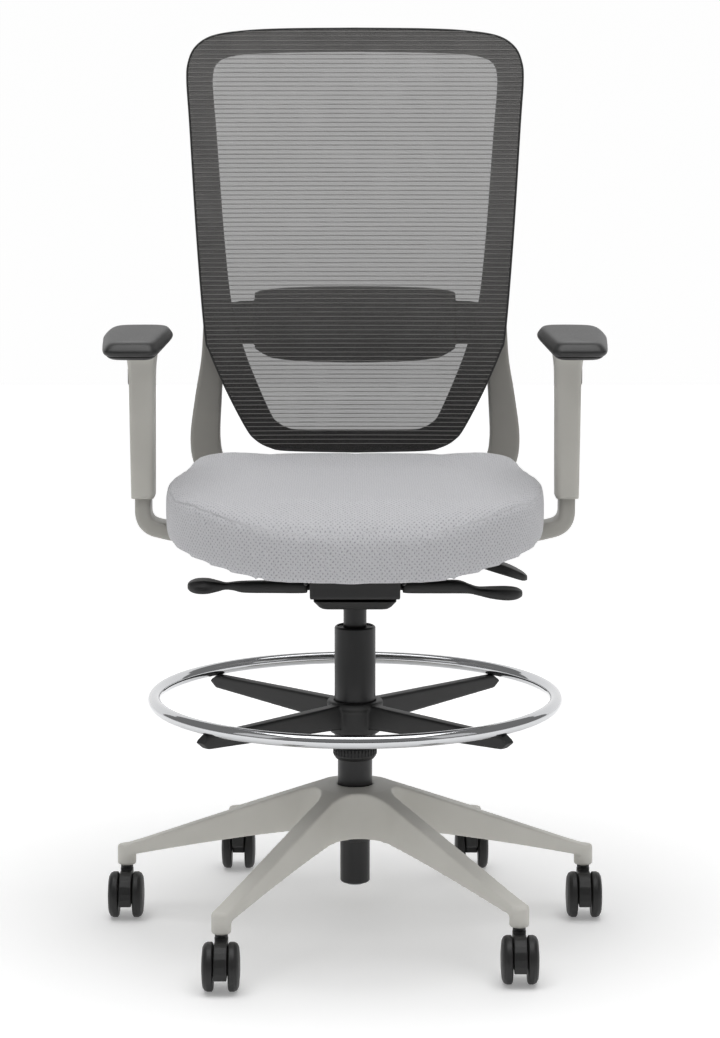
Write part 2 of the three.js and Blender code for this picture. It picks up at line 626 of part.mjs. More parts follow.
// The seat's outline in the plan: a round front, sides that draw in and round rear corners.
function seatOutline(count) {
  const rearX = SEAT_REAR_HALF_WIDTH - SEAT_CORNER;
  const half = [
    ...arc(0, 0, 1, rad(-90), 0, 24).map((p) => V2(
      SEAT_HALF_WIDTH * Math.max(p.x, 0) ** (2 / SEAT_BOW),
      SEAT_WIDEST_Y + (SEAT_FRONT - SEAT_WIDEST_Y) * Math.abs(p.y) ** (2 / SEAT_BOW),
    )),
    ...arc(rearX, SEAT_REAR - SEAT_CORNER, SEAT_CORNER, rad(6), rad(90), 8),
    V2(0, SEAT_REAR),
  ];
  const right = new THREE.Path(half).getSpacedPoints(count / 2);
  return [...right, ...right.slice(1, -1).reverse().map((p) => V2(-p.x, p.y))];
}

const SEAT_CENTRE_Y = -20;

// Height of the cushion's upper surface at a place, before its edge is rounded.
function seatTop(p) {
  const towardsFront = clamp01((-150 - p.y) / (-150 - SEAT_FRONT));
  const towardsRear = clamp01((p.y - 60) / (SEAT_REAR - 60)) ** 2;
  const sideways = clamp01((Math.abs(p.x) - 110) / (SEAT_HALF_WIDTH - 117)) ** 2;
  const dished = SEAT_SIDE_RISE * sideways * clamp01((p.y + 150) / 150) * (1 - 0.7 * towardsRear);
  return SEAT_TOP - SEAT_FRONT_DROP * towardsFront ** 2 + SEAT_REAR_RISE * towardsRear + dished;
}

// Height of the cushion's lower edge: low at the front, higher at the sides, clear of the arms' bars.
function seatEdgeBottom(p) {
  const ahead = clamp01((ARM_Y - POST_DEPTH / 2 - 6 - p.y) / 36);
  const sideways = clamp01((Math.abs(p.x) - 90) / (SEAT_HALF_WIDTH - 90));
  return lerp(PAN_BOTTOM + PAN_THICKNESS + 4, lerp(SEAT_APRON, SEAT_SKIRT, sideways ** 1.5), ahead);
}

// Loops of the cushion, each at a share of the outline and a height that may vary round it.
function seatLoop(outline, share, height) {
  return outline.map((p) => {
    const q = V2(p.x * share, SEAT_CENTRE_Y + (p.y - SEAT_CENTRE_Y) * share);
    return V3(q.x, q.y, height(p, q));
  });
}

function seatCushion() {
  const outline = seatOutline(40);
  const under = PAN_BOTTOM + PAN_THICKNESS + GAP;
  const loop = (share, height) => seatLoop(outline, share, height);
  return loft([
    loop(0.4, () => under), loop(0.8, () => under),
    loop(0.9, (p) => Math.min(under, seatEdgeBottom(p) + 12)), loop(0.975, (p) => seatEdgeBottom(p)),
    loop(1, (p) => lerp(seatEdgeBottom(p), seatTop(p), 0.35)), loop(0.995, (p) => seatTop(p) - 14),
    loop(0.965, (p) => seatTop(p) - 3), loop(0.9, (p, q) => seatTop(q)),
    loop(0.6, (p, q) => seatTop(q) + 2), loop(0.3, (p, q) => seatTop(q) + 1),
  ]);
}

// The moulded pan under the foam: a dish that stays inside the cushion's apron.
function seatPan() {
  const outline = seatOutline(32);
  const [bottom, top] = [PAN_BOTTOM, PAN_BOTTOM + PAN_THICKNESS];
  return loft([
    seatLoop(outline, 0.3, () => bottom), seatLoop(outline, 0.74, () => bottom),
    seatLoop(outline, 0.78, () => bottom + 2), seatLoop(outline, 0.78, () => top),
    seatLoop(outline, 0.3, () => top),
  ]);
}

// The third lever hangs under the plate's edge and slants down and outwards.
const DEPTH_LEVER_Y = LEVER_Y + 62;
const DEPTH_LEVER_ROOT = PLATE_BOTTOM - GAP - 4;
const depthLever = () => lever(1, DEPTH_LEVER_Y, DEPTH_LEVER_ROOT, [
  [PLATE_HALF_WIDTH - 19, 0, 18, 8], [PLATE_HALF_WIDTH - 8, 0, 18, 8], [PLATE_HALF_WIDTH, -2.5, 18, 8],
  [158, -6, 26, 11], [180, -13, 34, 14], [210, -22, 40, 14], [230, -30, 30, 11], [238, -33, 12, 6],
]);

const seat = groupIn(chair);
named("seat_plate", seatPlate(), BLACK_STEEL, seat);
named("seat_slide_rail_right", slideRail(1), BLACK_NYLON, seat);
named("seat_slide_rail_left", slideRail(-1), BLACK_NYLON, seat);
named("seat_pan", seatPan(), BLACK_NYLON, seat);
named("seat_cushion", seatCushion(), SEAT_FABRIC, seat);
named("seat_depth_lever", depthLever(), BLACK_NYLON, seat);

// ---------------------------------------------------------------- arms
// The bracket: a flat bar that leaves the seat plate, turns up at an elbow and becomes the post.
function armBracket(side) {
  const on = (x, rise) => V3(x, ARM_Y, ARM_BAR_HEIGHT + rise);
  const runs = [
    [new THREE.LineCurve3(on(ARM_BAR_INNER, 0), on(200, 0)), 1],
    [new THREE.QuadraticBezierCurve3(on(200, 0), on(232, 0), on(258, 6)), 3],
    [new THREE.LineCurve3(on(258, 6), on(ARM_X - 20, 9.3)), 1],
    [new THREE.QuadraticBezierCurve3(on(ARM_X - 20, 9.3), on(ARM_X, 14), on(ARM_X, 35)), 6],
    [new THREE.LineCurve3(on(ARM_X, 35), V3(ARM_X, ARM_Y, POST_TOP)), 1],
  ];
  const stations = runs.flatMap(([curve, steps], run) =>
    [...Array(steps + 1).keys()].slice(run === 0 ? 0 : 1)
      .map((i) => [curve.getPoint(i / steps), curve.getTangent(i / steps)]));
  return loft(stations.map(([at, along]) => {
    const across = V3(-along.z, 0, along.x);
    return roundedRectangle(POST_DEPTH, POST_WIDTH, 8, 2).map((p) => {
      const q = at.clone().addScaledVector(across, p.y);
      return V3(side * q.x, q.y + p.x, q.z);
    });
  }));
}

const BUTTON = { z: 772, width: 16, height: 24, proud: 2.3, travel: 2 };
const SLEEVE_ROOF = 785; // top of the hollow that the post slides in
const POCKET_FLOOR = POST_WIDTH / 2 + 2.6; // from the post's middle to the floor of the button's pocket

function armSleeve(side) {
  const loop = (z, width, depth = ARM_SLEEVE_DEPTH) =>
    roundedRectangle(width, depth, 9, 2).map((p) => V3(side * ARM_X + p.x, ARM_Y + p.y, z));
  const body = loft([
    loop(SLEEVE_FOOT, ARM_SLEEVE_FOOT_WIDTH - 2, ARM_SLEEVE_DEPTH - 2),
    loop(SLEEVE_FOOT + 2, ARM_SLEEVE_FOOT_WIDTH), loop(755, ARM_SLEEVE_TOP_WIDTH),
    loop(778, ARM_SLEEVE_TOP_WIDTH + 1.2), loop(791, ARM_SLEEVE_TOP_WIDTH + 4),
    loop(PAD_BASE_BOTTOM - GAP, ARM_SLEEVE_FLARE_WIDTH, ARM_SLEEVE_DEPTH + 8),
  ]);
  const bore = roundedRectangle(POST_WIDTH + 2 * GAP, POST_DEPTH + 2 * GAP, 8, 2);
  const hollow = loft([SLEEVE_FOOT - 10, SLEEVE_ROOF].map((z) =>
    bore.map((p) => V3(side * ARM_X + p.x, ARM_Y + p.y, z))));
  const pocket = buttonBlock(side, POCKET_FLOOR, 40, 2 * GAP);
  return cut(body, hollow, pocket);
}

// A block on the outer side of the sleeve between two distances from the post's middle.
function buttonBlock(side, from, to, extra) {
  const [x0, x1] = [side * (ARM_X + from), side * (ARM_X + to)].sort((a, b) => a - b);
  const [w, h] = [BUTTON.width / 2 + extra, BUTTON.height / 2 + extra];
  return block(x0, x1, ARM_Y - w, ARM_Y + w, BUTTON.z - h, BUTTON.z + h);
}

const armButton = (side) =>
  buttonBlock(side, POCKET_FLOOR + BUTTON.travel + GAP, ARM_SLEEVE_TOP_WIDTH / 2 + BUTTON.proud, 0);

// Outline of a pad in the plan, for the arm on the +X side: wider behind than in front.
const PAD_OUTLINE = [
  [-20, 0.005], [-28, 0.035], [-31, 0.12], [-35, 0.4], [-39, 0.75], [-38, 0.92], [-28, 0.985], [0, 1],
  [36, 0.985], [50, 0.93], [54, 0.75], [50.5, 0.5], [46, 0.25], [42, 0.08], [36, 0.015], [20, 0], [0, 0],
];
function padLoop(side, z, inset) {
  const middle = (PAD_FRONT + PAD_REAR) / 2;
  const points = PAD_OUTLINE.map(([x, share]) => V3(ARM_X + x, lerp(PAD_FRONT, PAD_REAR, share), z));
  const path = new THREE.CatmullRomCurve3(points, true, "chordal", 0.5);
  return path.getPoints(32).slice(0, 32).map((p) => {
    const [w, l] = [(50 - inset) / 50, (124 - inset) / 124];
    return V3(side * (ARM_X + (p.x - ARM_X) * w), middle + (p.y - middle) * l, z + (p.y - middle) * 0.02);
  });
}

const PAD_BOTTOM = PAD_BASE_BOTTOM + PAD_BASE_THICKNESS + GAP;
const armPad = (side) => loft([
  padLoop(side, PAD_BOTTOM + 2.6, 6), padLoop(side, PAD_BOTTOM + 6, 1.5), padLoop(side, PAD_BOTTOM + 11, 0),
  padLoop(side, PAD_BOTTOM + PAD_THICKNESS - 6, 4), padLoop(side, PAD_BOTTOM + PAD_THICKNESS - 2, 7.5),
  padLoop(side, PAD_BOTTOM + PAD_THICKNESS, 14),
]);
const armPadBase = (side) => loft([
  padLoop(side, PAD_BASE_BOTTOM + 2.6, 14), padLoop(side, PAD_BASE_BOTTOM + 6, 6),
  padLoop(side, PAD_BOTTOM + 2.6 - 2 * GAP, 5),
]);

for (const [label, side] of [["right", 1], ["left", -1]]) {
  const arm = groupIn(chair);
  named(`arm_bracket_${label}`, armBracket(side), WARM_GREY, arm);
  named(`arm_sleeve_${label}`, armSleeve(side), WARM_GREY, arm);
  named(`arm_button_${label}`, armButton(side), BLACK_NYLON, arm);
  named(`arm_pad_base_${label}`, armPadBase(side), BLACK_NYLON, arm);
  named(`arm_pad_${label}`, armPad(side), ARM_PAD_BLACK, arm);
}

// ---------------------------------------------------------------- back
// The surface that the mesh lies on: the lumbar curve in the side view and a slight wrap in the plan.
function backY(x, z) {
  const above = clamp01((z - BACK_WAIST) / (BACK_TOP - BACK_WAIST));
  const below = clamp01((BACK_WAIST - z) / (BACK_WAIST - BACK_BOTTOM));
  const curve = BACK_LEAN * above ** 1.5 + BACK_KICK * below ** 2;
  return BACK_WAIST_Y + curve - BACK_WRAP * (x / BACK_HALF_WIDTH) ** 2;
}

// Half outlines of the frame as [x, height] from the top middle down to the bottom middle, drawn for a back
// that rises OUTLINE_RISE above its waist and stretched to the back's own height.
const OUTLINE_RISE = 425;
const FRAME_OUTER = [
  [0, BACK_WAIST + OUTLINE_RISE], [100, 1244], [160, 1241], [204, 1234], [228, 1219], [238.5, 1197],
  [BACK_HALF_WIDTH, 1170], [236.5, 1110], [226.5, 946], [216, 812], [209.5, 786], [186, 730],
  [158, 674], [144, 656], [125, 645], [98, 639.5], [0, BACK_BOTTOM],
];
const FRAME_INNER = [
  [0, 1210.5], [100, 1209], [152, 1207], [183, 1202], [197, 1193], [202, 1178], [201.5, 1150],
  [196.5, 1090], [186, 946], [176, 856], [160, 794], [143, 747], [121.4, 696], [112, 683], [98, 674.5],
  [80, 671.5], [0, 671],
];

// Both half outlines cut into short steps, as pairs of points at matching places.
function frameSteps() {
  const pairs = [];
  const stretch = (BACK_TOP - BACK_WAIST) / OUTLINE_RISE;
  const onBack = ([x, z]) => V2(x, z + Math.max(z - BACK_WAIST, 0) * (stretch - 1));
  FRAME_OUTER.forEach((outer, i) => {
    const [o, n] = [onBack(outer), onBack(FRAME_INNER[i])];
    if (i > 0) {
      const last = pairs[pairs.length - 1];
      const steps = Math.ceil(Math.max(o.distanceTo(last[0]), n.distanceTo(last[1])) / BACK_STEP);
      for (let k = 1; k < steps; k++) {
        pairs.push([last[0].clone().lerp(o, k / steps), last[1].clone().lerp(n, k / steps)]);
      }
    }
    pairs.push([o, n]);
  });
  return pairs;
}

function backFrame() {
  const half = frameSteps();
  const mirrored = half.slice(1, -1).reverse().map((pair) => pair.map((p) => V2(-p.x, p.y)));
  const pairs = [...half, ...mirrored];
  const front = MESH_THICKNESS / 2 + MESH_GAP;
  const loops = pairs.map(([o, n]) => {
    const at = (share, depth) => {
      const x = lerp(o.x, n.x, share);
      const z = lerp(o.y, n.y, share);
      return V3(x, backY(x, z) + front + depth, z);
    };
    return [
      at(0, 4), at(0.1, 0), at(0.9, 0), at(1, 4), at(0.86, FRAME_DEPTH), at(0.14, FRAME_DEPTH),
    ];
  });
  return loft(loops, true);
}

// The mesh panel: a thin sheet between the two sides of the frame's outline.
function backMesh() {
  const inset = 2;
  const columns = 8;
  const rows = frameSteps()
    .map(([o]) => [o.x - inset, o.y])
    .filter(([half, z]) => half > 60 && z < BACK_TOP - inset && z > BACK_BOTTOM + inset);
  const loops = rows.map(([half, z]) => {
    const front = [];
    const behind = [];
    for (let i = 0; i <= columns; i++) {
      const x = lerp(-half, half, i / columns);
      front.push(V3(x, backY(x, z) - MESH_THICKNESS / 2, z));
      behind.push(V3(x, backY(x, z) + MESH_THICKNESS / 2, z));
    }
    return [...front, ...behind.reverse()];
  });
  return loft(loops);
}

// The lumbar pad: a shallow pad behind the mesh with a wing each side that runs behind the frame.
const LUMBAR_HALF = [
  [0, 769, 877.5], [60, 770, 877], [100, 773, 875.5], [120, 776, 874], [134, 783, 872], [144, 790, 869],
];
function lumbarPad() {
  const face = MESH_THICKNESS / 2 + LUMBAR_CLEAR;
  const rear = MESH_THICKNESS / 2 + MESH_GAP + FRAME_DEPTH + LUMBAR_SLACK;
  const wingRear = rear + WING_THICKNESS;
  const column = (x, low, high, from, to) => {
    const steps = 4;
    const ahead = [];
    const back = [];
    for (let i = 0; i <= steps; i++) {
      const z = lerp(low, high, i / steps);
      ahead.push(V3(x, backY(x, z) + from, z));
      back.push(V3(x, backY(x, z) + to, z));
    }
    return [...ahead, ...back.reverse()];
  };
  const right = LUMBAR_HALF.map(([x, low, high]) => column(x, low, high, face, wingRear));
  const left = LUMBAR_HALF.slice(1).reverse().map(([x, low, high]) => column(-x, low, high, face, wingRear));
  const body = loft([...left, ...right]);
  const wing = [[130, 794, 857], [162, 794, 857], [WING_REACH, 797, 854]];
  const wings = [-1, 1].map((s) =>
    loft(wing.map(([x, low, high]) => column(s * x, low, high, rear, wingRear))));
  return join(body, ...wings);
}

// The yoke: from the pivot it runs back under the seat, spreads and rises behind the frame on both sides.
const YOKE_LINE = [
  // x, y, z of the middle line, width across, thickness
  [69.5, BACK_PIVOT.y, BACK_PIVOT.z, 11, 26], [69.5, 100, 490, 11, 24], [71, 135, 498, 14, 22],
  [90, 178, 517, 30, 18], [128, 222, 546, 42, 16], [181, 251, 583, 45, 16], [210, 258, 618, 45, 16],
  [217.5, 257, 655, 44, 16], [212.5, 250, 715, 39, 15], [206, 242, 770, 33, 14],
  [203.5, 238.8, 825, 30, 12], [202.5, 239.8, 862, 28, 10],
];
function yokeSide(side) {
  const path = new THREE.CatmullRomCurve3(YOKE_LINE.map(([x, y, z]) => V3(x, y, z)), false, "centripetal");
  const steps = 18;
  const loops = [];
  for (let i = 0; i <= steps; i++) {
    const t = i / steps;
    const at = path.getPoint(t);
    const along = path.getTangent(t);
    // The bar's thickness stands up at the pivot and turns to point backwards as the bar rises.
    const thick = V3(0, clamp01((t - 0.3) / 0.3), 1 - clamp01((t - 0.3) / 0.3)).normalize();
    thick.addScaledVector(along, -thick.dot(along)).normalize();
    const wide = new THREE.Vector3().crossVectors(along, thick).normalize();
    const row = t * (YOKE_LINE.length - 1);
    const k = Math.min(Math.floor(row), YOKE_LINE.length - 2);
    const [w, h] = [3, 4].map((j) => lerp(YOKE_LINE[k][j], YOKE_LINE[k + 1][j], row - k));
    loops.push(roundedRectangle(w, h, Math.min(w, h) * 0.3, 1).map((p) => {
      const q = at.clone().addScaledVector(wide, p.x).addScaledVector(thick, p.y);
      return V3(side * q.x, q.y, q.z);
    }));
  }
  return loft(loops);
}

function backYoke() {
  // A bridge behind the housing ties the two sides together.
  const bridge = block(-75, 75, HOUSING_REAR + 9, HOUSING_REAR + 27, 484, 502);
  const bore = crossRod(BACK_PIVOT.radius + GAP, -100, 100, BACK_PIVOT.y, BACK_PIVOT.z);
  const eyes = [[-75, -64], [64, 75]].map(([x0, x1]) =>
    crossRod(13, x0, x1, BACK_PIVOT.y, BACK_PIVOT.z, 20));
  return cut(join(yokeSide(1), yokeSide(-1), bridge, ...eyes), bore);
}

const back = groupIn(chair);
named("back_yoke", backYoke(), WARM_GREY, back);
named("back_frame", backFrame(), FRAME_BLACK, back);
named("back_mesh", backMesh(), BACK_MESH, back);
named("lumbar_pad", lumbarPad(), FRAME_BLACK, back);

export default chair;
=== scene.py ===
# %% [markdown]
# # A drafting chair, piece by piece
#
# A drafting chair is an office chair on a long gas column, with a ring for the feet. Its metal and plastic
# parts have fixed sizes, so an engineering model of them is loaded first. It is a skeleton that says where
# every part is and how it moves. Each cell then makes the visible surface of one part and tells it which
# moving body it belongs to. Sizes are written in millimetres, as on a drawing, and turned into metres.

import math
from bisect import bisect
import bmesh
import bpy
from mathutils import Matrix, Vector


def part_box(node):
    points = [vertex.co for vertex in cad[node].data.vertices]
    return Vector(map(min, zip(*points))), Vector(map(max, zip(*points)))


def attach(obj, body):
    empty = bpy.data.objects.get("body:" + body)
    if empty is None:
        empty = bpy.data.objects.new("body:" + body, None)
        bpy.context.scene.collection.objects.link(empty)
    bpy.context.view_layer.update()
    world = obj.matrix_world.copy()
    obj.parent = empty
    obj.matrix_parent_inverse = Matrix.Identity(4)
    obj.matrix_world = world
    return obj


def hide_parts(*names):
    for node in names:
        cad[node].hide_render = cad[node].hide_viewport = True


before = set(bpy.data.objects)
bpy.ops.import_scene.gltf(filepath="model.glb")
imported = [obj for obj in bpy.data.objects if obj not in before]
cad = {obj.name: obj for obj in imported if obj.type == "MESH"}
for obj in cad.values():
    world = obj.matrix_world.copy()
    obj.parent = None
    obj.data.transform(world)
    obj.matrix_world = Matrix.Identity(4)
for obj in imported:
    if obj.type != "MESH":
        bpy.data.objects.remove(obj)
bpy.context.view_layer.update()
MM = 0.001

# %% [markdown]
# ## Camera
#
# A product picture of a tall object is taken from a few metres away with a long lens, so that the legs and
# the back keep their proportions. The camera stands in front of the chair, a little below the top of the
# back, and looks slightly down. Nothing else in the file depends on it.

# %% Camera
camera_data = bpy.data.cameras.new("studio_camera")
camera_data.sensor_width = 36
camera_data.lens = 104
camera_data.shift_x = 0.0048
camera = bpy.data.objects.new("studio_camera", camera_data)
bpy.context.scene.collection.objects.link(camera)
camera.location = (0, -4.075, 1.203)
camera.rotation_euler = (math.radians(90 - 8.75), 0, 0)
bpy.context.scene.camera = camera
print("camera:", camera_data.lens, "mm lens,", round(-camera.location.y, 2), "m in front of the column")

# %% [markdown]
# ## Helpers for meshes
#
# Most parts of a chair are one of three things: turned parts, which are a profile spun round an axis,
# lofted parts, which are a row of sections joined by skin, and moulded parts, whose edges are all rounded.
# One helper for each keeps the later cells short. Points are joined into a mesh by index, and the normals
# are recalculated once at the end, so that they all point outwards.

# %% Mesh helpers
def mesh_object(name, points, faces):
    mesh = bpy.data.meshes.new(name)
    mesh.from_pydata([Vector(p) * MM for p in points], [], faces)
    return linked(name, mesh)


def linked(name, mesh):
    work = bmesh.new()
    work.from_mesh(mesh)
    bmesh.ops.remove_doubles(work, verts=work.verts, dist=1e-6)
    bmesh.ops.recalc_face_normals(work, faces=work.faces)
    work.to_mesh(mesh)
    work.free()
    mesh.shade_smooth()
    piece = bpy.data.objects.new(name, mesh)
    bpy.context.scene.collection.objects.link(piece)
    return piece


def loft(name, loops, closed=False):
    count = len(loops[0])
    points = [p for loop in loops for p in loop]
    faces = []
    for i in range(len(loops) if closed else len(loops) - 1):
        a, b = i * count, (i + 1) % len(loops) * count
        faces += [(a + j, a + (j + 1) % count, b + (j + 1) % count, b + j) for j in range(count)]
    if not closed:
        faces += [tuple(range(count)), tuple(range(len(points) - count, len(points)))]
    return mesh_object(name, points, faces)


def rounded(points, radius, steps=4, closed=True):
    """The same polygon with each corner replaced by a small curve."""
    made = []
    points = [Vector(p) for p in points]
    for i, corner in enumerate(points):
        if not closed and i in (0, len(points) - 1):
            made.append(corner)
            continue
        before, after = points[i - 1] - corner, points[(i + 1) % len(points)] - corner
        reach = min(radius, before.length * 0.45, after.length * 0.45)
        start, end = corner + before.normalized() * reach, corner + after.normalized() * reach
        for k in range(steps + 1):
            t = k / steps
            made.append(start * (1 - t) ** 2 + corner * 2 * t * (1 - t) + end * t * t)
    return made


def turned(name, profile, radius=1.0, sides=96, closed=False):
    """A profile of (radius, height) points spun round the Z axis; closed for a ring with a hole."""
    profile = rounded(profile, radius, closed=closed)
    loops = []
    for i in range(sides):
        a = 2 * math.pi * i / sides
        loops.append([(p.x * math.cos(a), p.x * math.sin(a), p.y) for p in profile])
    count = len(profile)
    faces = []
    for i in range(sides):
        a, b = i * count, (i + 1) % sides * count
        for j in range(count if closed else count - 1):
            faces.append((a + j, b + j, b + (j + 1) % count, a + (j + 1) % count))
    return mesh_object(name, [p for loop in loops for p in loop], faces)


def smooth_row(rows, steps):
    """A smooth curve through rows of numbers (Catmull-Rom), with steps points for each gap."""
    made = []
    for i in range(len(rows) - 1):
        p0, p1, p2, p3 = rows[max(i - 1, 0)], rows[i], rows[i + 1], rows[min(i + 2, len(rows) - 1)]
        for k in range(steps):
            t = k / steps
            made.append([
                0.5 * (
                    2 * b + (c - a) * t + (2 * a - 5 * b + 4 * c - d) * t * t
                    + (3 * b - a - 3 * c + d) * t ** 3
                )
                for a, b, c, d in zip(p0, p1, p2, p3)
            ])
    return made + [list(rows[-1])]


def round_rectangle(width, height, radius, steps=5):
    w, h = width / 2, height / 2
    return rounded([(w, h), (-w, h), (-w, -h), (w, -h)], radius, steps)


print("helpers ready")

# %% [markdown]
# Two more helpers finish a shape. The first applies an object's modifiers, so that what is left is a plain
# mesh. The second softens a part: a voxel remesh turns it into an even skin, and a few rounds of smoothing
# take the sharpness off every edge, as a mould or a sand casting does.

# %% Modifier helpers
def baked(piece):
    evaluated = piece.evaluated_get(bpy.context.evaluated_depsgraph_get())
    mesh = bpy.data.meshes.new_from_object(evaluated)
    piece.modifiers.clear()
    piece.data = mesh
    mesh.shade_smooth()
    return piece


def modified(piece, kind, **settings):
    modifier = piece.modifiers.new(kind.lower(), kind)
    for key, value in settings.items():
        setattr(modifier, key, value)
    return modifier


def softened(piece, voxel, rounds, keep=1.0):
    modified(piece, "REMESH", mode="VOXEL", voxel_size=voxel * MM, use_smooth_shade=True)
    modified(piece, "SMOOTH", factor=0.5, iterations=rounds)
    if keep < 1:
        modified(piece, "DECIMATE", ratio=keep)
    return baked(piece)


def combined(piece, tool, operation):
    modified(piece, "BOOLEAN", object=tool, operation=operation, solver="EXACT")
    baked(piece)
    bpy.data.objects.remove(tool)
    return piece


def copy_of(name, node):
    """A copy of a frame part with its loose triangles joined into one skin."""
    return linked(name, cad[node].data.copy())


def settle(piece, body, material, nodes=()):
    """Gives a finished piece its material, its body and the frame parts that it stands for."""
    piece.data.materials.clear()
    piece.data.materials.append(material)
    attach(piece, body)
    if nodes:
        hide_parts(*nodes)
    print(piece.name, "rides on", body, "with", len(piece.data.polygons), "faces")
    return piece


# %% [markdown]
# ## Materials
#
# A material is named for what the real part is made of. One function turns the hex colour of a paint or
# fabric chart into the linear colour that Blender mixes. A second one adds a shader node with its settings
# and links. Patterns are laid out on object coordinates, which are metres on every piece, so a grain of half
# a millimetre is a noise with 2000 cells in a metre.

# %% Material helpers
def linear(code):
    channels = [int(code[i:i + 2], 16) / 255 for i in (1, 3, 5)]
    return [c / 12.92 if c <= 0.04045 else ((c + 0.055) / 1.055) ** 2.4 for c in channels] + [1]


def cells(size):
    """Pattern cells in a metre for a grain of this many millimetres."""
    return 1000 / size


def add(tree, kind, inputs=None, **settings):
    made = tree.nodes.new(kind)
    for key, value in settings.items():
        setattr(made, key, value)
    for key, value in (inputs or {}).items():
        if isinstance(value, bpy.types.NodeSocket):
            tree.links.new(value, made.inputs[key])
        else:
            made.inputs[key].default_value = value
    return made


def surface(name, **settings):
    """A new material with its shader, its tree and its object coordinates."""
    material = bpy.data.materials.new(name)
    material.use_nodes = True
    tree = material.node_tree
    shader = tree.nodes["Principled BSDF"]
    for key, value in settings.items():
        shader.inputs[key.replace("_", " ")].default_value = value
    where = add(tree, "ShaderNodeTexCoord").outputs["Object"]
    return material, tree, shader, where


def tinted(tree, factor, low, high):
    """A colour between two hex colours."""
    return add(
        tree, "ShaderNodeMix", {0: factor, 6: linear(low), 7: linear(high)}, data_type="RGBA",
    ).outputs[2]


def ranged(tree, value, low, high, start=0.3, end=0.7):
    """The pattern's values from start to end, spread over low to high."""
    return add(tree, "ShaderNodeMapRange", {0: value, 1: start, 2: end, 3: low, 4: high}).outputs[0]


def moulded(name, low, high, roughness, grain, depth, **settings):
    """A moulded or coated surface: a fine even grain, a faint cloudiness and a shine that follows it."""
    material, tree, shader, where = surface(name, **settings)
    cloud = add(tree, "ShaderNodeTexNoise", {"Vector": where, "Scale": cells(70), "Detail": 2.0}).outputs[0]
    fine = add(tree, "ShaderNodeTexNoise", {"Vector": where, "Scale": cells(grain), "Detail": 3.0}).outputs[0]
    tree.links.new(tinted(tree, ranged(tree, cloud, 0, 1), low, high), shader.inputs["Base Color"])
    tree.links.new(ranged(tree, fine, roughness - 0.05, roughness + 0.05), shader.inputs["Roughness"])
    bump = add(tree, "ShaderNodeBump", {"Height": fine, "Distance": depth * MM, "Strength": 0.6})
    tree.links.new(bump.outputs[0], shader.inputs["Normal"])
    return material


# %% [markdown]
# The base, the arm sleeves and the yoke are a warm light grey, the sleeves a little darker than the base.
# The yoke's copy is darker still: painted shade for the shadow it lies in under the seat and behind the back.
# The base and sleeves are glass-filled nylon straight from the mould, with a fine spark-eroded grain. The
# yoke and the arm brackets are cast aluminium under powder coat, which flows a little before it sets and
# leaves a soft orange peel of about 2 mm. The black parts are the same nylon in black, and the column is
# steel under a smooth black coat.

# %% Hard materials
grey_nylon = moulded("light_grey_glass_filled_nylon", "#d2d0c9", "#d8d6cf", 0.5, 0.9, 0.05, IOR=1.53)
sleeve_nylon = moulded("light_grey_nylon_sleeve", "#c2c0b9", "#c9c7c0", 0.5, 0.9, 0.05, IOR=1.53)
grey_powder_coat = moulded(
    "light_grey_powder_coated_aluminium", "#a3a19b", "#aaa8a2", 0.42, 2.0, 0.05, IOR=1.5,
)
# The yoke's coat is painted darker than the brackets' coat: painted shade for the shadow of the seat and
# back.
yoke_coat_painted_shade = moulded("yoke_casting_grey_with_painted_shade", "#8c8a85", "#93918b", 0.45, 2.4, 0.06, IOR=1.5)
black_nylon = moulded("black_glass_filled_nylon", "#131313", "#191919", 0.5, 0.8, 0.06, IOR=1.53)
black_coat = moulded("black_powder_coated_steel", "#101011", "#161617", 0.38, 2.2, 0.04, IOR=1.5)
frame_nylon = moulded("charcoal_moulded_polypropylene", "#1c1c1c", "#222222", 0.6, 1.0, 0.06, IOR=1.49)
arm_skin = moulded("black_self_skinned_polyurethane", "#232323", "#2b2b2b", 0.46, 1.6, 0.12, IOR=1.5)
print("hard materials:", len(bpy.data.materials))

# %% [markdown]
# The foot ring is bent steel tube with a bright chrome plate: a mirror with a faint waviness left by the
# polishing wheel. Pins and stems are turned steel, where the tool leaves fine rings round the axis.

# %% Metals
def plated(name, colour, roughness, wave):
    material, tree, shader, where = surface(name, Metallic=1.0)
    shader.inputs["Base Color"].default_value = linear(colour)
    ripple = add(
        tree, "ShaderNodeTexNoise", {"Vector": where, "Scale": cells(wave), "Detail": 1.0},
    ).outputs[0]
    tree.links.new(ranged(tree, ripple, roughness, roughness + 0.04), shader.inputs["Roughness"])
    bump = add(tree, "ShaderNodeBump", {"Height": ripple, "Distance": 0.02 * MM, "Strength": 0.4})
    tree.links.new(bump.outputs[0], shader.inputs["Normal"])
    return material


chrome_plate = plated("chrome_plated_steel_tube", "#cccdcf", 0.05, 12)
turned_steel = plated("zinc_plated_turned_steel", "#b9bbbd", 0.28, 0.8)
print("metals: chrome and zinc plate")

# %% [markdown]
# The seat is covered in a knitted spacer fabric. Small open loops stand in staggered columns, and between
# them the yarn is smooth and pale. The columns run from the back of the seat to the front edge and down over
# it, so one coordinate is X and the other adds Y and Z, which keeps counting as the cloth turns downwards.
# The loops are 3.2 mm apart across and 3.7 mm along.

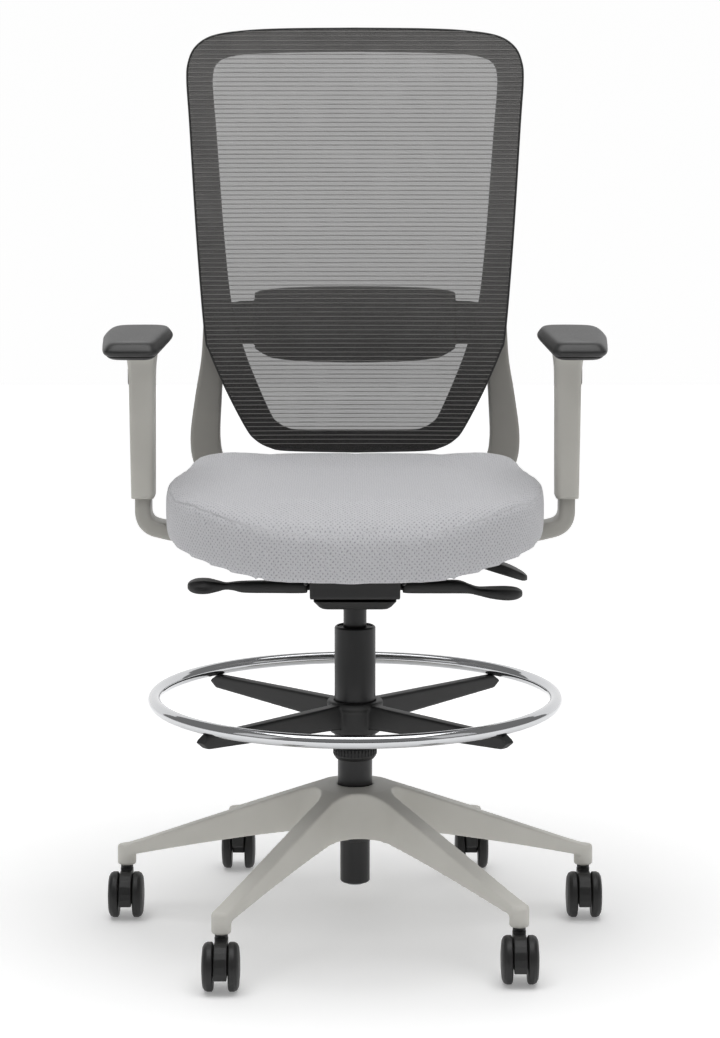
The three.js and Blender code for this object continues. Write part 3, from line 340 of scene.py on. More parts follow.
# %% Seat fabric
def seat_knit():
    material, tree, shader, where = surface("light_grey_knitted_spacer_fabric", Roughness=0.92, IOR=1.45)
    shader.inputs["Sheen Weight"].default_value = 0.25
    shader.inputs["Sheen Roughness"].default_value = 0.5
    knit = add(tree, "ShaderNodeAttribute", attribute_name="knit").outputs["Vector"]
    axes = add(tree, "ShaderNodeSeparateXYZ", {0: knit}).outputs
    drift = add(tree, "ShaderNodeTexNoise", {"Vector": where, "Scale": cells(9), "Detail": 2.0}).outputs[0]
    wander = ranged(tree, drift, -1.1, 1.1)

    def wave(axis, pitch, turn):
        scaled = add(tree, "ShaderNodeMath", {0: axis, 1: 2 * math.pi * 1000 / pitch}, operation="MULTIPLY")
        moved = add(tree, "ShaderNodeMath", {0: scaled.outputs[0], 1: wander}, operation="ADD")
        return add(tree, "ShaderNodeMath", {0: moved.outputs[0]}, operation=turn).outputs[0]

    loops = add(
        tree, "ShaderNodeMath", {0: wave(axes[0], 6.4, "COSINE"), 1: wave(axes[1], 7.4, "COSINE")},
        operation="MULTIPLY",
    )
    ribs = wave(axes[0], 3.2, "COSINE")
    hole = ranged(tree, loops.outputs[0], 0, 1, 0.35, 0.95)
    fuzz = add(tree, "ShaderNodeTexNoise", {"Vector": where, "Scale": cells(1.4), "Detail": 4.0}).outputs[0]
    yarn = tinted(tree, ranged(tree, fuzz, 0, 1), "#bcbcbf", "#cdcdd0")
    dark = add(tree, "ShaderNodeMix", {0: hole, 6: yarn, 7: linear("#98989e")}, data_type="RGBA").outputs[2]
    tree.links.new(dark, shader.inputs["Base Color"])
    raised = add(tree, "ShaderNodeMath", {0: ribs, 1: 0.25}, operation="MULTIPLY").outputs[0]
    height = add(tree, "ShaderNodeMath", {0: raised, 1: hole}, operation="SUBTRACT").outputs[0]
    rough = add(tree, "ShaderNodeMath", {0: fuzz, 1: height}, operation="ADD").outputs[0]
    bump = add(tree, "ShaderNodeBump", {"Height": rough, "Distance": 0.5 * MM, "Strength": 0.7})
    tree.links.new(bump.outputs[0], shader.inputs["Normal"])
    return material


seat_fabric = seat_knit()
print("seat fabric: loops 3.2 mm by 3.7 mm")

# %% [markdown]
# The back is a stretched mesh: an open net of monofilament with a thicker thread laid across it about every
# 6 mm. The net's holes are under a millimetre, far too fine to see, so most of what shows is how much light
# passes. The shader's alpha stands for that, with a ripple of 2.1 mm for the finer rows. The thick threads
# are real tubes, made later.

# %% Back mesh
def back_net():
    material, tree, shader, where = surface("grey_stretched_monofilament_mesh", Roughness=0.7, IOR=1.5)
    height = add(tree, "ShaderNodeSeparateXYZ", {0: where}).outputs[2]
    drift = add(tree, "ShaderNodeTexNoise", {"Vector": where, "Scale": cells(40), "Detail": 3.0}).outputs[0]
    scaled = add(
        tree, "ShaderNodeMath", {0: height, 1: 2 * math.pi * 1000 / 2.13}, operation="MULTIPLY",
    ).outputs[0]
    moved = add(
        tree, "ShaderNodeMath", {0: scaled, 1: ranged(tree, drift, -2, 2)}, operation="ADD",
    ).outputs[0]
    rows = add(tree, "ShaderNodeMath", {0: moved}, operation="SINE").outputs[0]
    tree.links.new(ranged(tree, rows, 0.66, 0.78, -1, 1), shader.inputs["Alpha"])
    worn = tinted(tree, ranged(tree, drift, 0, 1), "#656463", "#6c6b6a")
    # Painted shade: the net's colour darkens from 0.98 m down to 0.70 m and below, where the lower back faces
    # away from the top light.
    lower = add(
        tree, "ShaderNodeMix", {0: ranged(tree, height, 0, 1, 0.70, 0.98), 6: linear("#3e3d3c"), 7: worn},
        data_type="RGBA",
    )
    tree.links.new(lower.outputs[2], shader.inputs["Base Color"])
    bump = add(tree, "ShaderNodeBump", {"Height": rows, "Distance": 0.15 * MM, "Strength": 0.5})
    tree.links.new(bump.outputs[0], shader.inputs["Normal"])
    return material


mesh_net = back_net()
mesh_thread = moulded("pale_grey_polyester_thread", "#757472", "#807f7d", 0.7, 1.2, 0.05, IOR=1.5)
print("back mesh: net and thread")

# %% [markdown]
# ## Base star
#
# The base is one moulding: six legs that fall from a tall hub to the sockets of the casters. Its plan is a
# star whose legs are joined by hollow arcs. Its side view is a spun section that gets thinner outwards.
# Where the two overlap is the raw shape. The sockets are added, and the skin is softened, because a
# moulding of glass-filled nylon has no sharp edge anywhere.

# %% Base star
LEGS = {"front_right": 41, "right": 101, "rear_right": 148, "rear_left": 212, "left": 259, "front_left": 328}
CASTER_CIRCLE, LEG_HALF, HUB_WALL = 330, 12.5, 56


def stem_place(leg):
    a = math.radians(LEGS[leg] - 90)
    return Vector((CASTER_CIRCLE * math.cos(a), CASTER_CIRCLE * math.sin(a), 0))


def placed(piece, matrix):
    """Moves the points of a piece, in metres, and leaves the object at the origin."""
    piece.data.transform(matrix)
    return piece


def joined(name, pieces):
    work = bmesh.new()
    for piece in pieces:
        work.from_mesh(piece.data)
        bpy.data.objects.remove(piece)
    mesh = bpy.data.meshes.new(name)
    work.to_mesh(mesh)
    work.free()
    return linked(name, mesh)


def star_outline():
    legs = sorted(math.radians(angle - 90) for angle in LEGS.values())
    points = []

    def arc(x, y, radius, start, end, steps):
        for i in range(steps + 1):
            a = start + (end - start) * i / steps
            points.append((x + radius * math.cos(a), y + radius * math.sin(a)))

    for i, a in enumerate(legs):
        after = legs[i + 1] if i < 5 else legs[0] + 2 * math.pi
        reach = CASTER_CIRCLE
        arc(reach * math.cos(a), reach * math.sin(a), LEG_HALF, a - math.pi / 2, a + math.pi / 2, 12)
        s = math.sin((after - a) / 2)
        fillet = (HUB_WALL - LEG_HALF / s) / (1 / s - 1)
        out, middle = (LEG_HALF + fillet) / s, (a + after) / 2
        arc(
            out * math.cos(middle), out * math.sin(middle), fillet,
            a + 1.5 * math.pi, after + math.pi / 2, 16,
        )
    return points


def base_star():
    outline = star_outline()
    prism = loft("base_star", [[(x, y, z) for x, y in outline] for z in (50, 260)])
    section = [(24.3, 204), (38, 204)]
    radii = [56 + (356.6 - 56) * i / 12 for i in range(13)]
    share = [min((r - 56) / (330 - 56), 1) for r in radii]
    section += [(r, 202 - 102.5 * t) for r, t in zip(radii, share)]
    section += [(r, 137 - 52.5 * t ** 1.2) for r, t in reversed(list(zip(radii, share)))]
    section += [(21.1, 137)]
    star = combined(prism, turned("star_section", section, 0.2, 192, True), "INTERSECT")
    sockets = []
    for leg in LEGS:
        ring = turned("socket", [(5.7, 70.5), (13.3, 70.5), (13.3, 97.5), (5.7, 97.5)], 1.5, 48, True)
        sockets.append(placed(ring, Matrix.Translation(stem_place(leg) * MM)))
    return softened(joined("base_star", [star, *sockets]), 1.9, 7, 0.45)


settle(base_star(), "base", grey_nylon, ["base_star"])

# %% [markdown]
# ## Column
#
# A gas spring stands in a steel tube with a slight taper that wedges it into the hub. The foot ring's sleeve
# slides on the tube, and a collar with grip ribs clamps it. The ribs repeat round the collar, so a small
# Geometry Nodes tree places them on a circle and turns each one to face outwards.

# %% Column
tube = [
    (5.3, 63), (18.7, 63), (20.7, 65), (20.7, 131), (24, 200), (24, 425), (21.5, 425), (21.5, 204),
    (18.2, 131), (18.2, 68), (5.3, 68),
]
settle(turned("column_tube", tube, 1.2, 96, True), "base", black_coat, ["column_tube"])
collar = [(21, 124.7), (24.5, 124.7), (27, 128.7), (27, 136.7), (22, 136.7), (21.4, 131)]
settle(turned("hub_collar", collar, 0.8, 96, True), "base", black_nylon, ["hub_collar"])
spring = [(5.3, 150), (16, 150), (16, 468), (14, 501), (0, 501), (0, 450), (5.3, 450)]
settle(turned("gas_spring", spring, 0.8, 96, True), "lift", black_coat, ["gas_spring"])
sleeve = [(24.6, 257), (28.7, 257), (28.7, 262), (28.4, 262.6), (28.4, 425), (26.5, 427), (24.6, 427)]
settle(
    turned("foot_ring_sleeve", sleeve, 0.7, 96, True), "foot_ring", black_coat,
    ["foot_ring_sleeve"],
)


def circle_of(name, start, material, count, radius, height, size):
    """Blocks on a circle round the Z axis, each turned outwards, added to the starting mesh."""
    tree = bpy.data.node_groups.new(name, "GeometryNodeTree")
    face = tree.interface
    face.new_socket("Geometry", in_out="INPUT", socket_type="NodeSocketGeometry")
    wanted = {"Count": count, "Radius": radius * MM, "Height": height * MM, "Size": Vector(size) * MM}
    kinds = {"Count": "NodeSocketInt", "Size": "NodeSocketVector"}
    sockets = {
        label: face.new_socket(label, in_out="INPUT", socket_type=kinds.get(label, "NodeSocketFloat"))
        for label in wanted
    }
    face.new_socket("Geometry", in_out="OUTPUT", socket_type="NodeSocketGeometry")
    given = add(tree, "NodeGroupInput").outputs
    ring = add(tree, "GeometryNodeMeshCircle", {"Vertices": given["Count"], "Radius": given["Radius"]})
    lift = add(tree, "ShaderNodeCombineXYZ", {"Z": given["Height"]})
    raised = add(tree, "GeometryNodeTransform", {"Geometry": ring.outputs[0], "Translation": lift.outputs[0]})
    block = add(tree, "GeometryNodeMeshCube", {"Size": given["Size"]})
    index = add(tree, "GeometryNodeInputIndex")
    turn = add(tree, "ShaderNodeMath", {0: 2 * math.pi, 1: given["Count"]}, operation="DIVIDE")
    angle = add(tree, "ShaderNodeMath", {0: index.outputs[0], 1: turn.outputs[0]}, operation="MULTIPLY")
    facing = add(tree, "ShaderNodeCombineXYZ", {"Z": angle.outputs[0]})
    put = add(
        tree, "GeometryNodeInstanceOnPoints", {"Points": raised.outputs[0], "Instance": block.outputs[0]},
    )
    tree.links.new(facing.outputs[0], put.inputs["Rotation"])
    both = add(tree, "GeometryNodeJoinGeometry")
    tree.links.new(put.outputs[0], both.inputs[0])
    tree.links.new(given["Geometry"], both.inputs[0])
    real = add(tree, "GeometryNodeRealizeInstances", {0: both.outputs[0]})
    done = add(tree, "GeometryNodeSetMaterial", {"Geometry": real.outputs[0], "Material": material})
    out = add(tree, "NodeGroupOutput")
    tree.links.new(done.outputs[0], out.inputs[0])
    modifier = start.modifiers.new(name, "NODES")
    modifier.node_group = tree
    for label, value in wanted.items():
        modifier[sockets[label].identifier] = value
    return baked(start)


lock = [(24.6, 240), (26.5, 240), (29.6, 244.5), (29.6, 256.7), (24.6, 256.7)]
lock = circle_of(
    "grip_ribs", turned("foot_ring_lock", lock, 0.7, 96, True), black_nylon, 36, 29.5, 251, (2, 1.6, 9),
)
settle(lock, "foot_ring", black_nylon, ["foot_ring_lock"])

# %% [markdown]
# ## Foot ring
#
# The ring is an 18 mm chromed tube on four black spokes. Each spoke is a deep bar that gets lower and
# rounder towards its end, where the tube lies on it. The boss and the spokes are one moulding.

# %% Foot ring
circle = [(278 + 9 * math.cos(math.pi * i / 16), 326 + 9 * math.sin(math.pi * i / 16)) for i in range(32)]
ring = turned("foot_ring", circle, 0, 192, True)
settle(ring, "foot_ring", chrome_plate, ["foot_ring"])


def foot_ring_hub():
    boss = [(29, 277), (33.7, 277), (35.7, 281), (35.7, 311), (39, 315), (39, 321), (37, 323), (29, 323)]
    parts = [turned("foot_ring_hub", boss, 1.5, 96, True)]
    for degrees in (45, 135, 225, 315):
        turn = Matrix.Rotation(math.radians(degrees), 3, "Z")
        loops = []
        for i in range(25):
            t = i / 24
            r = 31 + (290 - 31) * t
            top, low = 320 - 3.3 * t, 286 + 12.7 * t
            end = math.sqrt(max(0, 1 - max(0, (r - 281) / 9.01) ** 2))
            middle = (top + low) / 2
            loops.append(
                [
                    turn @ Vector((r, p.x, middle + p.y))
                    for p in round_rectangle(19 - 3 * t, (top - low) * end + 0.2, 3.5 * end + 0.02)
                ]
            )
        parts.append(loft("spoke", loops))
    return softened(joined("foot_ring_hub", parts), 1.3, 4, 0.5)


settle(foot_ring_hub(), "foot_ring", black_nylon, ["foot_ring_hub"])

# %% [markdown]
# ## Casters
#
# Each caster has two wheels of 65 mm, a moulded hood between them and a steel stem. The wheels trail behind
# the stem. A caster is made once, at the origin, and copied to the six legs, and each copy rides on its own
# body so that it can swivel and roll. The rear ones are turned round, as if the chair had been pushed
# forwards.

# %% Casters
TRAIL = Matrix.Translation((0, -0.022, 0.0321))


def caster_wheel(side):
    profile = [
        (4.3, 9.6), (29.5, 9.6), (32.4, 11.5), (32.5, 17.5), (30.5, 21.5), (26, 23.9), (24.4, 24),
        (23.8, 23.4), (23.2, 24.2), (14, 25), (0, 25.2), (0, 20.3), (4.3, 20.3),
    ]
    wheel = turned("wheel", [(r * 0.997, x) for r, x in profile], 0.7, 64, True)
    spin = Matrix.Rotation(side * math.pi / 2, 4, "Y")
    return placed(wheel, TRAIL @ spin)


def caster_hood():
    home = stem_place("front_left")
    hood = copy_of("hood", "caster_front_left_body")
    placed(hood, Matrix.Translation(-home * MM))
    modified(hood, "BEVEL", width=0.9 * MM, segments=2, limit_method="ANGLE", angle_limit=math.radians(35))
    return softened(baked(hood), 0.8, 4)


stem = [(0, 50.3), (5.5, 50.3), (5.5, 66.3), (8.7, 66.3), (8.7, 70.2), (5.5, 70.2), (5.5, 92.5), (0, 92.5)]
patterns = {
    "wheel_a": (caster_wheel(1), "black_nylon", black_nylon),
    "wheel_b": (caster_wheel(-1), "black_nylon", black_nylon),
    "body": (caster_hood(), "black_nylon", black_nylon),
    "stem": (turned("stem", stem, 0.5, 48), "bright_steel", black_coat),
}
for leg in LEGS:
    turn = Matrix.Rotation(math.pi if leg.startswith("rear") else 0, 4, "Z")
    for part, (pattern, slot, material) in patterns.items():
        piece = linked(f"caster_{leg}_{part}", pattern.data.copy())
        placed(piece, Matrix.Translation(stem_place(leg) * MM) @ turn)
        body = f"caster_{leg}_{part}" if part.startswith("wheel") else f"caster_{leg}"
        settle(piece, body, material, [f"caster_{leg}_{part}"])
for pattern, slot, material in patterns.values():
    bpy.data.objects.remove(pattern)

# %% [markdown]
# ## Tilt mechanism and levers
#
# The mechanism is a die-cast box with a cover under it. Three grip levers leave it. The one on the left has
# a round paddle with a hollow for the fingertip. The two on the right raise the seat and free the seat's
# slide. Each lever is a row of rounded sections along its length, joined by a smooth skin.

# %% Mechanism and levers
housing = softened(copy_of("tilt_housing", "tilt_housing"), 1.5, 4, 0.6)
settle(housing, "chassis", black_coat, ["tilt_housing"])
cover = softened(copy_of("tilt_housing_cover", "tilt_housing_cover"), 1.3, 6, 0.6)
settle(cover, "chassis", black_nylon, ["tilt_housing_cover"])
plate = softened(copy_of("seat_plate", "seat_plate"), 1.6, 2, 0.5)
settle(plate, "seat_frame", black_coat, ["seat_plate"])


def grip_lever(name, side, y, z, stations, dimple=None):
    loops = []
    for x, rise, width, height in smooth_row(stations, 6):
        section = round_rectangle(width, height, min(width, height) * 0.42)
        loops.append([(side * x, y + p.x, z + rise + p.y) for p in section])
    lever = loft(name, loops)
    if dimple:
        for vertex in lever.data.vertices:
            x, down = abs(vertex.co.x) / MM, vertex.co.z / MM - z
            if vertex.co.y / MM < y:
                vertex.co.y += 2.6 * MM * math.exp(
                    -((x - dimple[0]) / 10) ** 2 - ((down - dimple[1]) / 5) ** 2
                )
    return softened(lever, 0.9, 3)


ROOT = [(52, 0, 14, 9), (65, 0, 14, 9), (68, 0, 23, 16)]
tilt = ROOT + [
    (110, 0, 24, 16), (150, 0, 23, 15), (165, 1, 18, 11), (176, 1, 17, 9), (186, 1, 26, 13), (200, 1, 38, 18),
    (214, 1, 38, 18), (223, 1, 27, 13.5), (227.5, 1, 12, 7),
]
lever = grip_lever("tilt_lever", -1, -60, 492, tilt, (206, 2))
settle(lever, "tilt_lever", black_nylon, ["tilt_lever"])
height = ROOT + [
    (110, 0, 24, 17), (140, 0, 24, 17), (156, -3, 20, 12), (168, -6, 26, 10), (186, -8, 38, 13),
    (206, -9, 42, 15), (220, -9, 32, 13), (227.5, -9, 12, 7),
]
lever = grip_lever("height_lever", 1, -60, 492, height)
settle(lever, "height_lever", black_nylon, ["height_lever"])
depth = [
    (116, 0, 18, 8), (127, 0, 18, 8), (135, -2.5, 18, 8), (158, -6, 26, 11), (180, -13, 34, 14),
    (210, -22, 40, 14), (230, -30, 30, 11), (237.5, -33, 12, 6),
]
lever = grip_lever("seat_depth_lever", 1, 2, 526.7, depth)
settle(lever, "seat_depth_lever", black_nylon, ["seat_depth_lever"])

# %% [markdown]
# ## Seat cushion
#
# The seat is moulded foam under a knitted cover. Its plan is nearly a half disc in front, with sides that
# draw in a little towards the back. Its top is dished, a little higher at the sides and at the back, and it
# rolls down in front. Its lower edge hangs lowest at the front and lifts where the arms' bars
# pass under it. It starts 2 mm too small and is blown up as a closed cloth bag by a cloth simulation, and no
# point may move more than 5 mm, which gives the full, slightly crowned look of foam in a tight cover. The bag
# draws in at its rim as it fills, so it is stretched back to the room the engineering model keeps for it.

# %% Seat outline
SEAT_HALF_WIDTH, SEAT_MIDDLE_Y, SEAT_FRONT_REACH, SEAT_REAR_Y = 257, -20, 245, 222
SEAT_BOW = 2.4  # how square the front is: 2 would be an ellipse
UNDERSIDE_Z = 573
KNIT_SHIFT = 852  # lines the knit on the front face up with the knit on the top


def spaced(points, count):
    """The same line with evenly spaced points."""
    lengths = [0]
    for a, b in zip(points, points[1:]):
        lengths.append(lengths[-1] + (Vector(b) - Vector(a)).length)
    made, k = [], 0
    for i in range(count + 1):
        want = lengths[-1] * i / count
        while k < len(points) - 2 and lengths[k + 1] < want:
            k += 1
        t = (want - lengths[k]) / (lengths[k + 1] - lengths[k])
        made.append(Vector(points[k]).lerp(Vector(points[k + 1]), min(max(t, 0), 1)))
    return made


def seat_outline(count):
    half = []
    for i in range(49):
        a = math.radians(-90 + 90 * i / 48)
        across = SEAT_HALF_WIDTH * max(math.cos(a), 0) ** (2 / SEAT_BOW)
        half.append((across, SEAT_MIDDLE_Y - SEAT_FRONT_REACH * abs(math.sin(a)) ** (2 / SEAT_BOW)))
    for i in range(17):
        a = math.radians(6 + 84 * i / 16)
        half.append((176 + 58 * math.cos(a), 164 + 58 * math.sin(a)))
    right = spaced(half + [(0, SEAT_REAR_Y)], count // 2)
    return right + [Vector((-p.x, p.y)) for p in reversed(right[1:-1])]


def seat_top(p):
    front = min(max((-150 - p[1]) / 115, 0), 1)
    rear = min(max((p[1] - 60) / 162, 0), 1) ** 2
    sideways = min(max((abs(p[0]) - 110) / 140, 0), 1) ** 2
    dished = 14 * sideways * min(max((p[1] + 150) / 150, 0), 1) * (1 - 0.7 * rear)
    return 627 - 34 * front ** 2 + 21 * rear + dished


def seat_bottom(p):
    ahead = min(max((-11 - p.y) / 36, 0), 1)
    ahead = ahead * ahead * (3 - 2 * ahead)
    sideways = min(max((abs(p.x) - 90) / 167, 0), 1)
    return 575 * (1 - ahead) + (528 + 28 * sideways ** 1.5) * ahead


print("seat outline:", len(seat_outline(160)), "points")

# %% Seat cushion
def cushion_shape():
    outline = seat_outline(160)
    inset = 2
    rows = [
        (0.35, "under", 0), (0.8, "under", 0), (0.88, "under", 0.3), (0.94, "low", 9), (0.975, "low", 2),
        (0.992, "low", 4), (1, "side", 0.2), (1, "side", 0.45), (1, "side", 0.68), (0.998, "top", -12),
        (0.989, "top", -4.5), (0.97, "top", 0.4), (0.94, "top", 1.6), (0.88, "top", 1), (0.6, "top", 2),
        (0.3, "top", 1.5),
    ]
    loops = []
    for share, kind, amount in rows:
        loop = []
        for p in outline:
            reach = share * (1 - inset / p.length)
            q = Vector((p.x * reach, SEAT_MIDDLE_Y + (p.y - SEAT_MIDDLE_Y) * reach))
            low, top = seat_bottom(p), seat_top(p)
            if kind == "under":
                z = 572 if amount == 0 else min(572, low + 14)
            elif kind == "low":
                z = low + amount
            elif kind == "side":
                z = low + (top - low) * amount
            else:
                z = (seat_top(q) if share < 0.95 else top) + amount - 2
            loop.append((q.x, q.y, z))
        loops.append(loop)
    return loft("seat_cushion", loops)


def inflated(piece, cap, frames=20):
    """Blows up a closed skin with a cloth simulation; no point moves more than the cap."""
    start = [v.co.copy() for v in piece.data.vertices]
    cloth = piece.modifiers.new("cloth", "CLOTH")
    cloth.settings.quality = 5
    cloth.settings.use_pressure = True
    cloth.settings.uniform_pressure_force = 4
    cloth.settings.effector_weights.gravity = 0
    cloth.point_cache.frame_start = 1
    cloth.point_cache.frame_end = frames
    for number in range(1, frames + 1):
        bpy.context.scene.frame_set(number)
    blown = piece.evaluated_get(bpy.context.evaluated_depsgraph_get()).to_mesh()
    moves = [v.co - s for v, s in zip(blown.vertices, start)]
    piece.modifiers.clear()
    bpy.context.scene.frame_set(1)
    for vertex, origin, move in zip(piece.data.vertices, start, moves):
        if move.length > cap * MM:
            move = move.normalized() * cap * MM
        if abs(origin.z - UNDERSIDE_Z * MM) < 0.003:
            move.z = max(move.z, -0.0005)
        vertex.co = origin + move
    return max(move.length for move in moves) / MM


def stretched(piece, node, still):
    """Stretches a piece to fill a node's box; points at the still height keep their height."""
    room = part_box(node)
    for i in range(3):
        has = [f(v.co[i] for v in piece.data.vertices) for f in (min, max)]
        middle = still * MM if i == 2 else sum(has) / 2
        centre = middle if i == 2 else (room[0][i] + room[1][i]) / 2
        for vertex in piece.data.vertices:
            side = vertex.co[i] > middle
            vertex.co[i] = centre + (vertex.co[i] - middle) * (room[side][i] - centre) / (has[side] - middle)


def lay_knit(piece):
    """Stores each point's place on the knit: flat on the top, wound round the outline on the sides."""
    ring = seat_outline(480)[:241]
    lengths, turns = [0], [0]
    for a, b in zip(ring, ring[1:]):
        lengths.append(lengths[-1] + (b - a).length)
        turns.append(math.atan2(b.x, SEAT_MIDDLE_Y - b.y))
    places = piece.data.attributes.new("knit", "FLOAT2", "POINT").data
    for vertex, place in zip(piece.data.vertices, places):
        place.vector = vertex.co.xy
        if abs(vertex.normal.z) < 0.65:
            turn = math.atan2(abs(vertex.co.x), SEAT_MIDDLE_Y * MM - vertex.co.y)
            k = min(max(bisect(turns, turn), 1), 240)
            share = (turn - turns[k - 1]) / (turns[k] - turns[k - 1])
            length = lengths[k - 1] + share * (lengths[k] - lengths[k - 1])
            place.vector = (math.copysign(length * MM, vertex.co.x), vertex.co.z - KNIT_SHIFT * MM)


cushion = softened(cushion_shape(), 5.5, 3)
print("the free bag would have moved", round(inflated(cushion, 5), 1), "mm")
modified(cushion, "SMOOTH", factor=0.5, iterations=2)
modified(cushion, "SUBSURF", levels=1, render_levels=1)
baked(cushion)
stretched(cushion, "seat_cushion", UNDERSIDE_Z)
lay_knit(cushion)
xs, ys, zs = zip(*(vertex.co for vertex in cushion.data.vertices))
print("cushion:", [[round(1000 * f(v), 1) for f in (min, max)] for v in (xs, ys, zs)])
settle(cushion, "seat", seat_fabric, ["seat_cushion"])
pan = softened(copy_of("seat_pan", "seat_pan"), 1.8, 6, 0.5)
settle(pan, "seat", black_nylon, ["seat_pan"])

# %% [markdown]
# ## Arms
#
# A flat bar leaves the seat plate, turns up at a tight elbow and becomes the post. A sleeve of square tube
# slides on the post, flares at its top and carries the pad. The pad is soft polyurethane with its own skin,
# wider behind than in front, on a hard base. A button on the outer side frees the sleeve.

# %% Arms
ARM_X, ARM_Y = 291.7, 20


def bend(points, steps):
    """Points of a quadratic curve, with its direction at each."""
    a, b, c = (Vector(p) for p in points)
    made = []
    for i in range(steps + 1):
        t = i / steps
        made.append(
            (
                a * (1 - t) ** 2 + b * 2 * t * (1 - t) + c * t * t,
                ((b - a) * (1 - t) + (c - b) * t).normalized(),
            )
        )
    return made


def arm_bracket(side, label):
    bar = 551.3
    row = [(Vector((98, bar)), Vector((1, 0)))]
    row += bend([(200, bar), (232, bar), (258, bar + 6)], 10)
    row += bend([(ARM_X - 20, bar + 9.3), (ARM_X, bar + 14), (ARM_X, bar + 35)], 16)
    row += [(Vector((ARM_X, 745)), Vector((0, 1)))]
    loops = []
    for at, along in row:
        across = Vector((-along.y, along.x))
        section = round_rectangle(50, 22, 8)
        loops.append([(side * (at + across * p.y).x, ARM_Y + p.x, (at + across * p.y).y) for p in section])
    return loft(f"arm_bracket_{label}", loops)


def arm_sleeve(side, label):
    def loop(z, width, depth=59, corner=9):
        return [(side * ARM_X + p.x, ARM_Y + p.y, z) for p in round_rectangle(width, depth, corner, 8)]

    rows = smooth_row(
        [
            (608, 29.5, 57), (608.6, 30.7, 58.3), (610, 31.5, 59), (680, 33, 59), (755, 34.5, 59),
            (778, 35.7, 59.4), (791, 37.7, 61), (802, 40.8, 66), (807.2, 41.5, 67),
        ],
        4,
    )
    sleeve = loft(f"arm_sleeve_{label}", [loop(z, w, d) for z, w, d in rows])
    hollow = loft("hollow", [loop(z, 22.6, 50.6, 8) for z in (598, 785)])
    combined(sleeve, hollow, "DIFFERENCE")
    x0, x1 = side * (ARM_X + 13.6), side * (ARM_X + 40)
    corners = [(772 + p.y, ARM_Y + p.x) for p in round_rectangle(17.2, 25.2, 4)]
    return combined(sleeve, loft("pocket", [[(x, y, z) for z, y in corners] for x in (x0, x1)]), "DIFFERENCE")


def arm_button(side, label):
    rows = [(15.9, 16, 24), (18.4, 16, 24), (19.2, 15.2, 23.2), (19.5, 13, 21)]
    return loft(
        f"arm_button_{label}",
        [
            [(side * (ARM_X + x), ARM_Y + p.x, 772 + p.y) for p in round_rectangle(w, h, 3.6)]
            for x, w, h in rows
        ],
    )


PAD_OUTLINE = [
    (-20, 0.005), (-28, 0.035), (-31, 0.12), (-35, 0.4), (-39, 0.75), (-38, 0.92), (-28, 0.985), (0, 1),
    (36, 0.985), (50, 0.93), (54, 0.75), (50.5, 0.5), (46, 0.25), (42, 0.08), (36, 0.015), (20, 0), (0, 0),
]


def pad_layers(name, side, layers):
    rows = [(x, -142 + 248 * share) for x, share in PAD_OUTLINE]
    ring = smooth_row([rows[-1], *rows, rows[0], rows[1]], 6)[6:-6]
    outline = spaced(ring, 120)[:-1]
    loops = []
    for z, inset in layers:
        wide, long = (50 - inset) / 50, (124 - inset) / 124
        loops.append(
            [(side * (ARM_X + p.x * wide), -18 + (p.y + 18) * long, z + (p.y + 18) * 0.02) for p in outline]
        )
    return loft(name, loops)


for label, side in (("right", 1), ("left", -1)):
    settle(
        arm_bracket(side, label), "seat_frame", grey_powder_coat,
        [f"arm_bracket_{label}"],
    )
    settle(arm_sleeve(side, label), f"arm_{label}", sleeve_nylon, [f"arm_sleeve_{label}"])
    settle(
        arm_button(side, label), f"arm_button_{label}", black_nylon, [f"arm_button_{label}"],
    )
    base = pad_layers(
        f"arm_pad_base_{label}", side,
        [(810.1, 14.5), (810.7, 11.5), (812.5, 7.4), (813.6, 6.2), (814.3, 5.4)],
    )
    settle(base, f"arm_{label}", black_nylon, [f"arm_pad_base_{label}"])
    profile = smooth_row(
        [
            (814.9, 7), (815.3, 4.5), (817, 1.8), (819.5, 0.3), (822.5, 0.3), (826, 2.6), (829.7, 6),
            (832, 9.5), (833.2, 15), (833.4, 24), (833, 36),
        ],
        3,
    )
    pad = pad_layers(f"arm_pad_{label}", side, profile)
    settle(pad, f"arm_{label}", arm_skin, [f"arm_pad_{label}"])

# %% [markdown]
# ## Back frame
#
# The back is one curved surface: hollow at the waist, leaning back above it and kicking back below, with its
# sides a little further forward than its middle. The frame is a loop that lies just behind this surface. Its
# section is flat in front, where the mesh lies, and narrower behind.

# %% Back frame
def back_y(x, z):
    above = min(max((z - 820) / 425, 0), 1)
    below = min(max((820 - z) / 183, 0), 1)
    return 216 + 46 * above ** 1.5 + 20 * below ** 2 - 12 * (x / 240.5) ** 2


OUTER = [
    (0, 1245), (100, 1244), (160, 1241), (204, 1234), (228, 1219), (238.5, 1197), (240.5, 1170),
    (236.5, 1110), (226.5, 946), (216, 812), (209.5, 786), (186, 730), (158, 674), (144, 656), (125, 645),
    (98, 639.5), (0, 637),
]
INNER = [
    (0, 1210.5), (100, 1209), (152, 1207), (183, 1202), (197, 1193), (202, 1178), (201.5, 1150),
    (196.5, 1090), (186, 946), (176, 856), (160, 794), (143, 747), (121.4, 696), (112, 683), (98, 674.5),
    (80, 671.5), (0, 671),
]
SIDE = smooth_row([(*o, *n) for o, n in zip(OUTER, INNER)], 8)


def back_frame():
    loops = []
    left = [(-a, b, -c, d) for a, b, c, d in reversed(SIDE[1:-1])]
    for ox, oz, nx, nz in SIDE + left:
        outer, inner = Vector((ox, oz)), Vector((nx, nz))
        width = (inner - outer).length
        section = rounded(
            [(0, 4), (0.1 * width, 0), (0.9 * width, 0), (width, 4), (0.86 * width, 22), (0.14 * width, 22)],
            4,
        )
        loop = []
        for p in section:
            at = outer.lerp(inner, p.x / width)
            loop.append((at.x, back_y(at.x, at.y) + 1.7 + p.y, at.y))
        loops.append(loop)
    return loft("back_frame", loops, True)


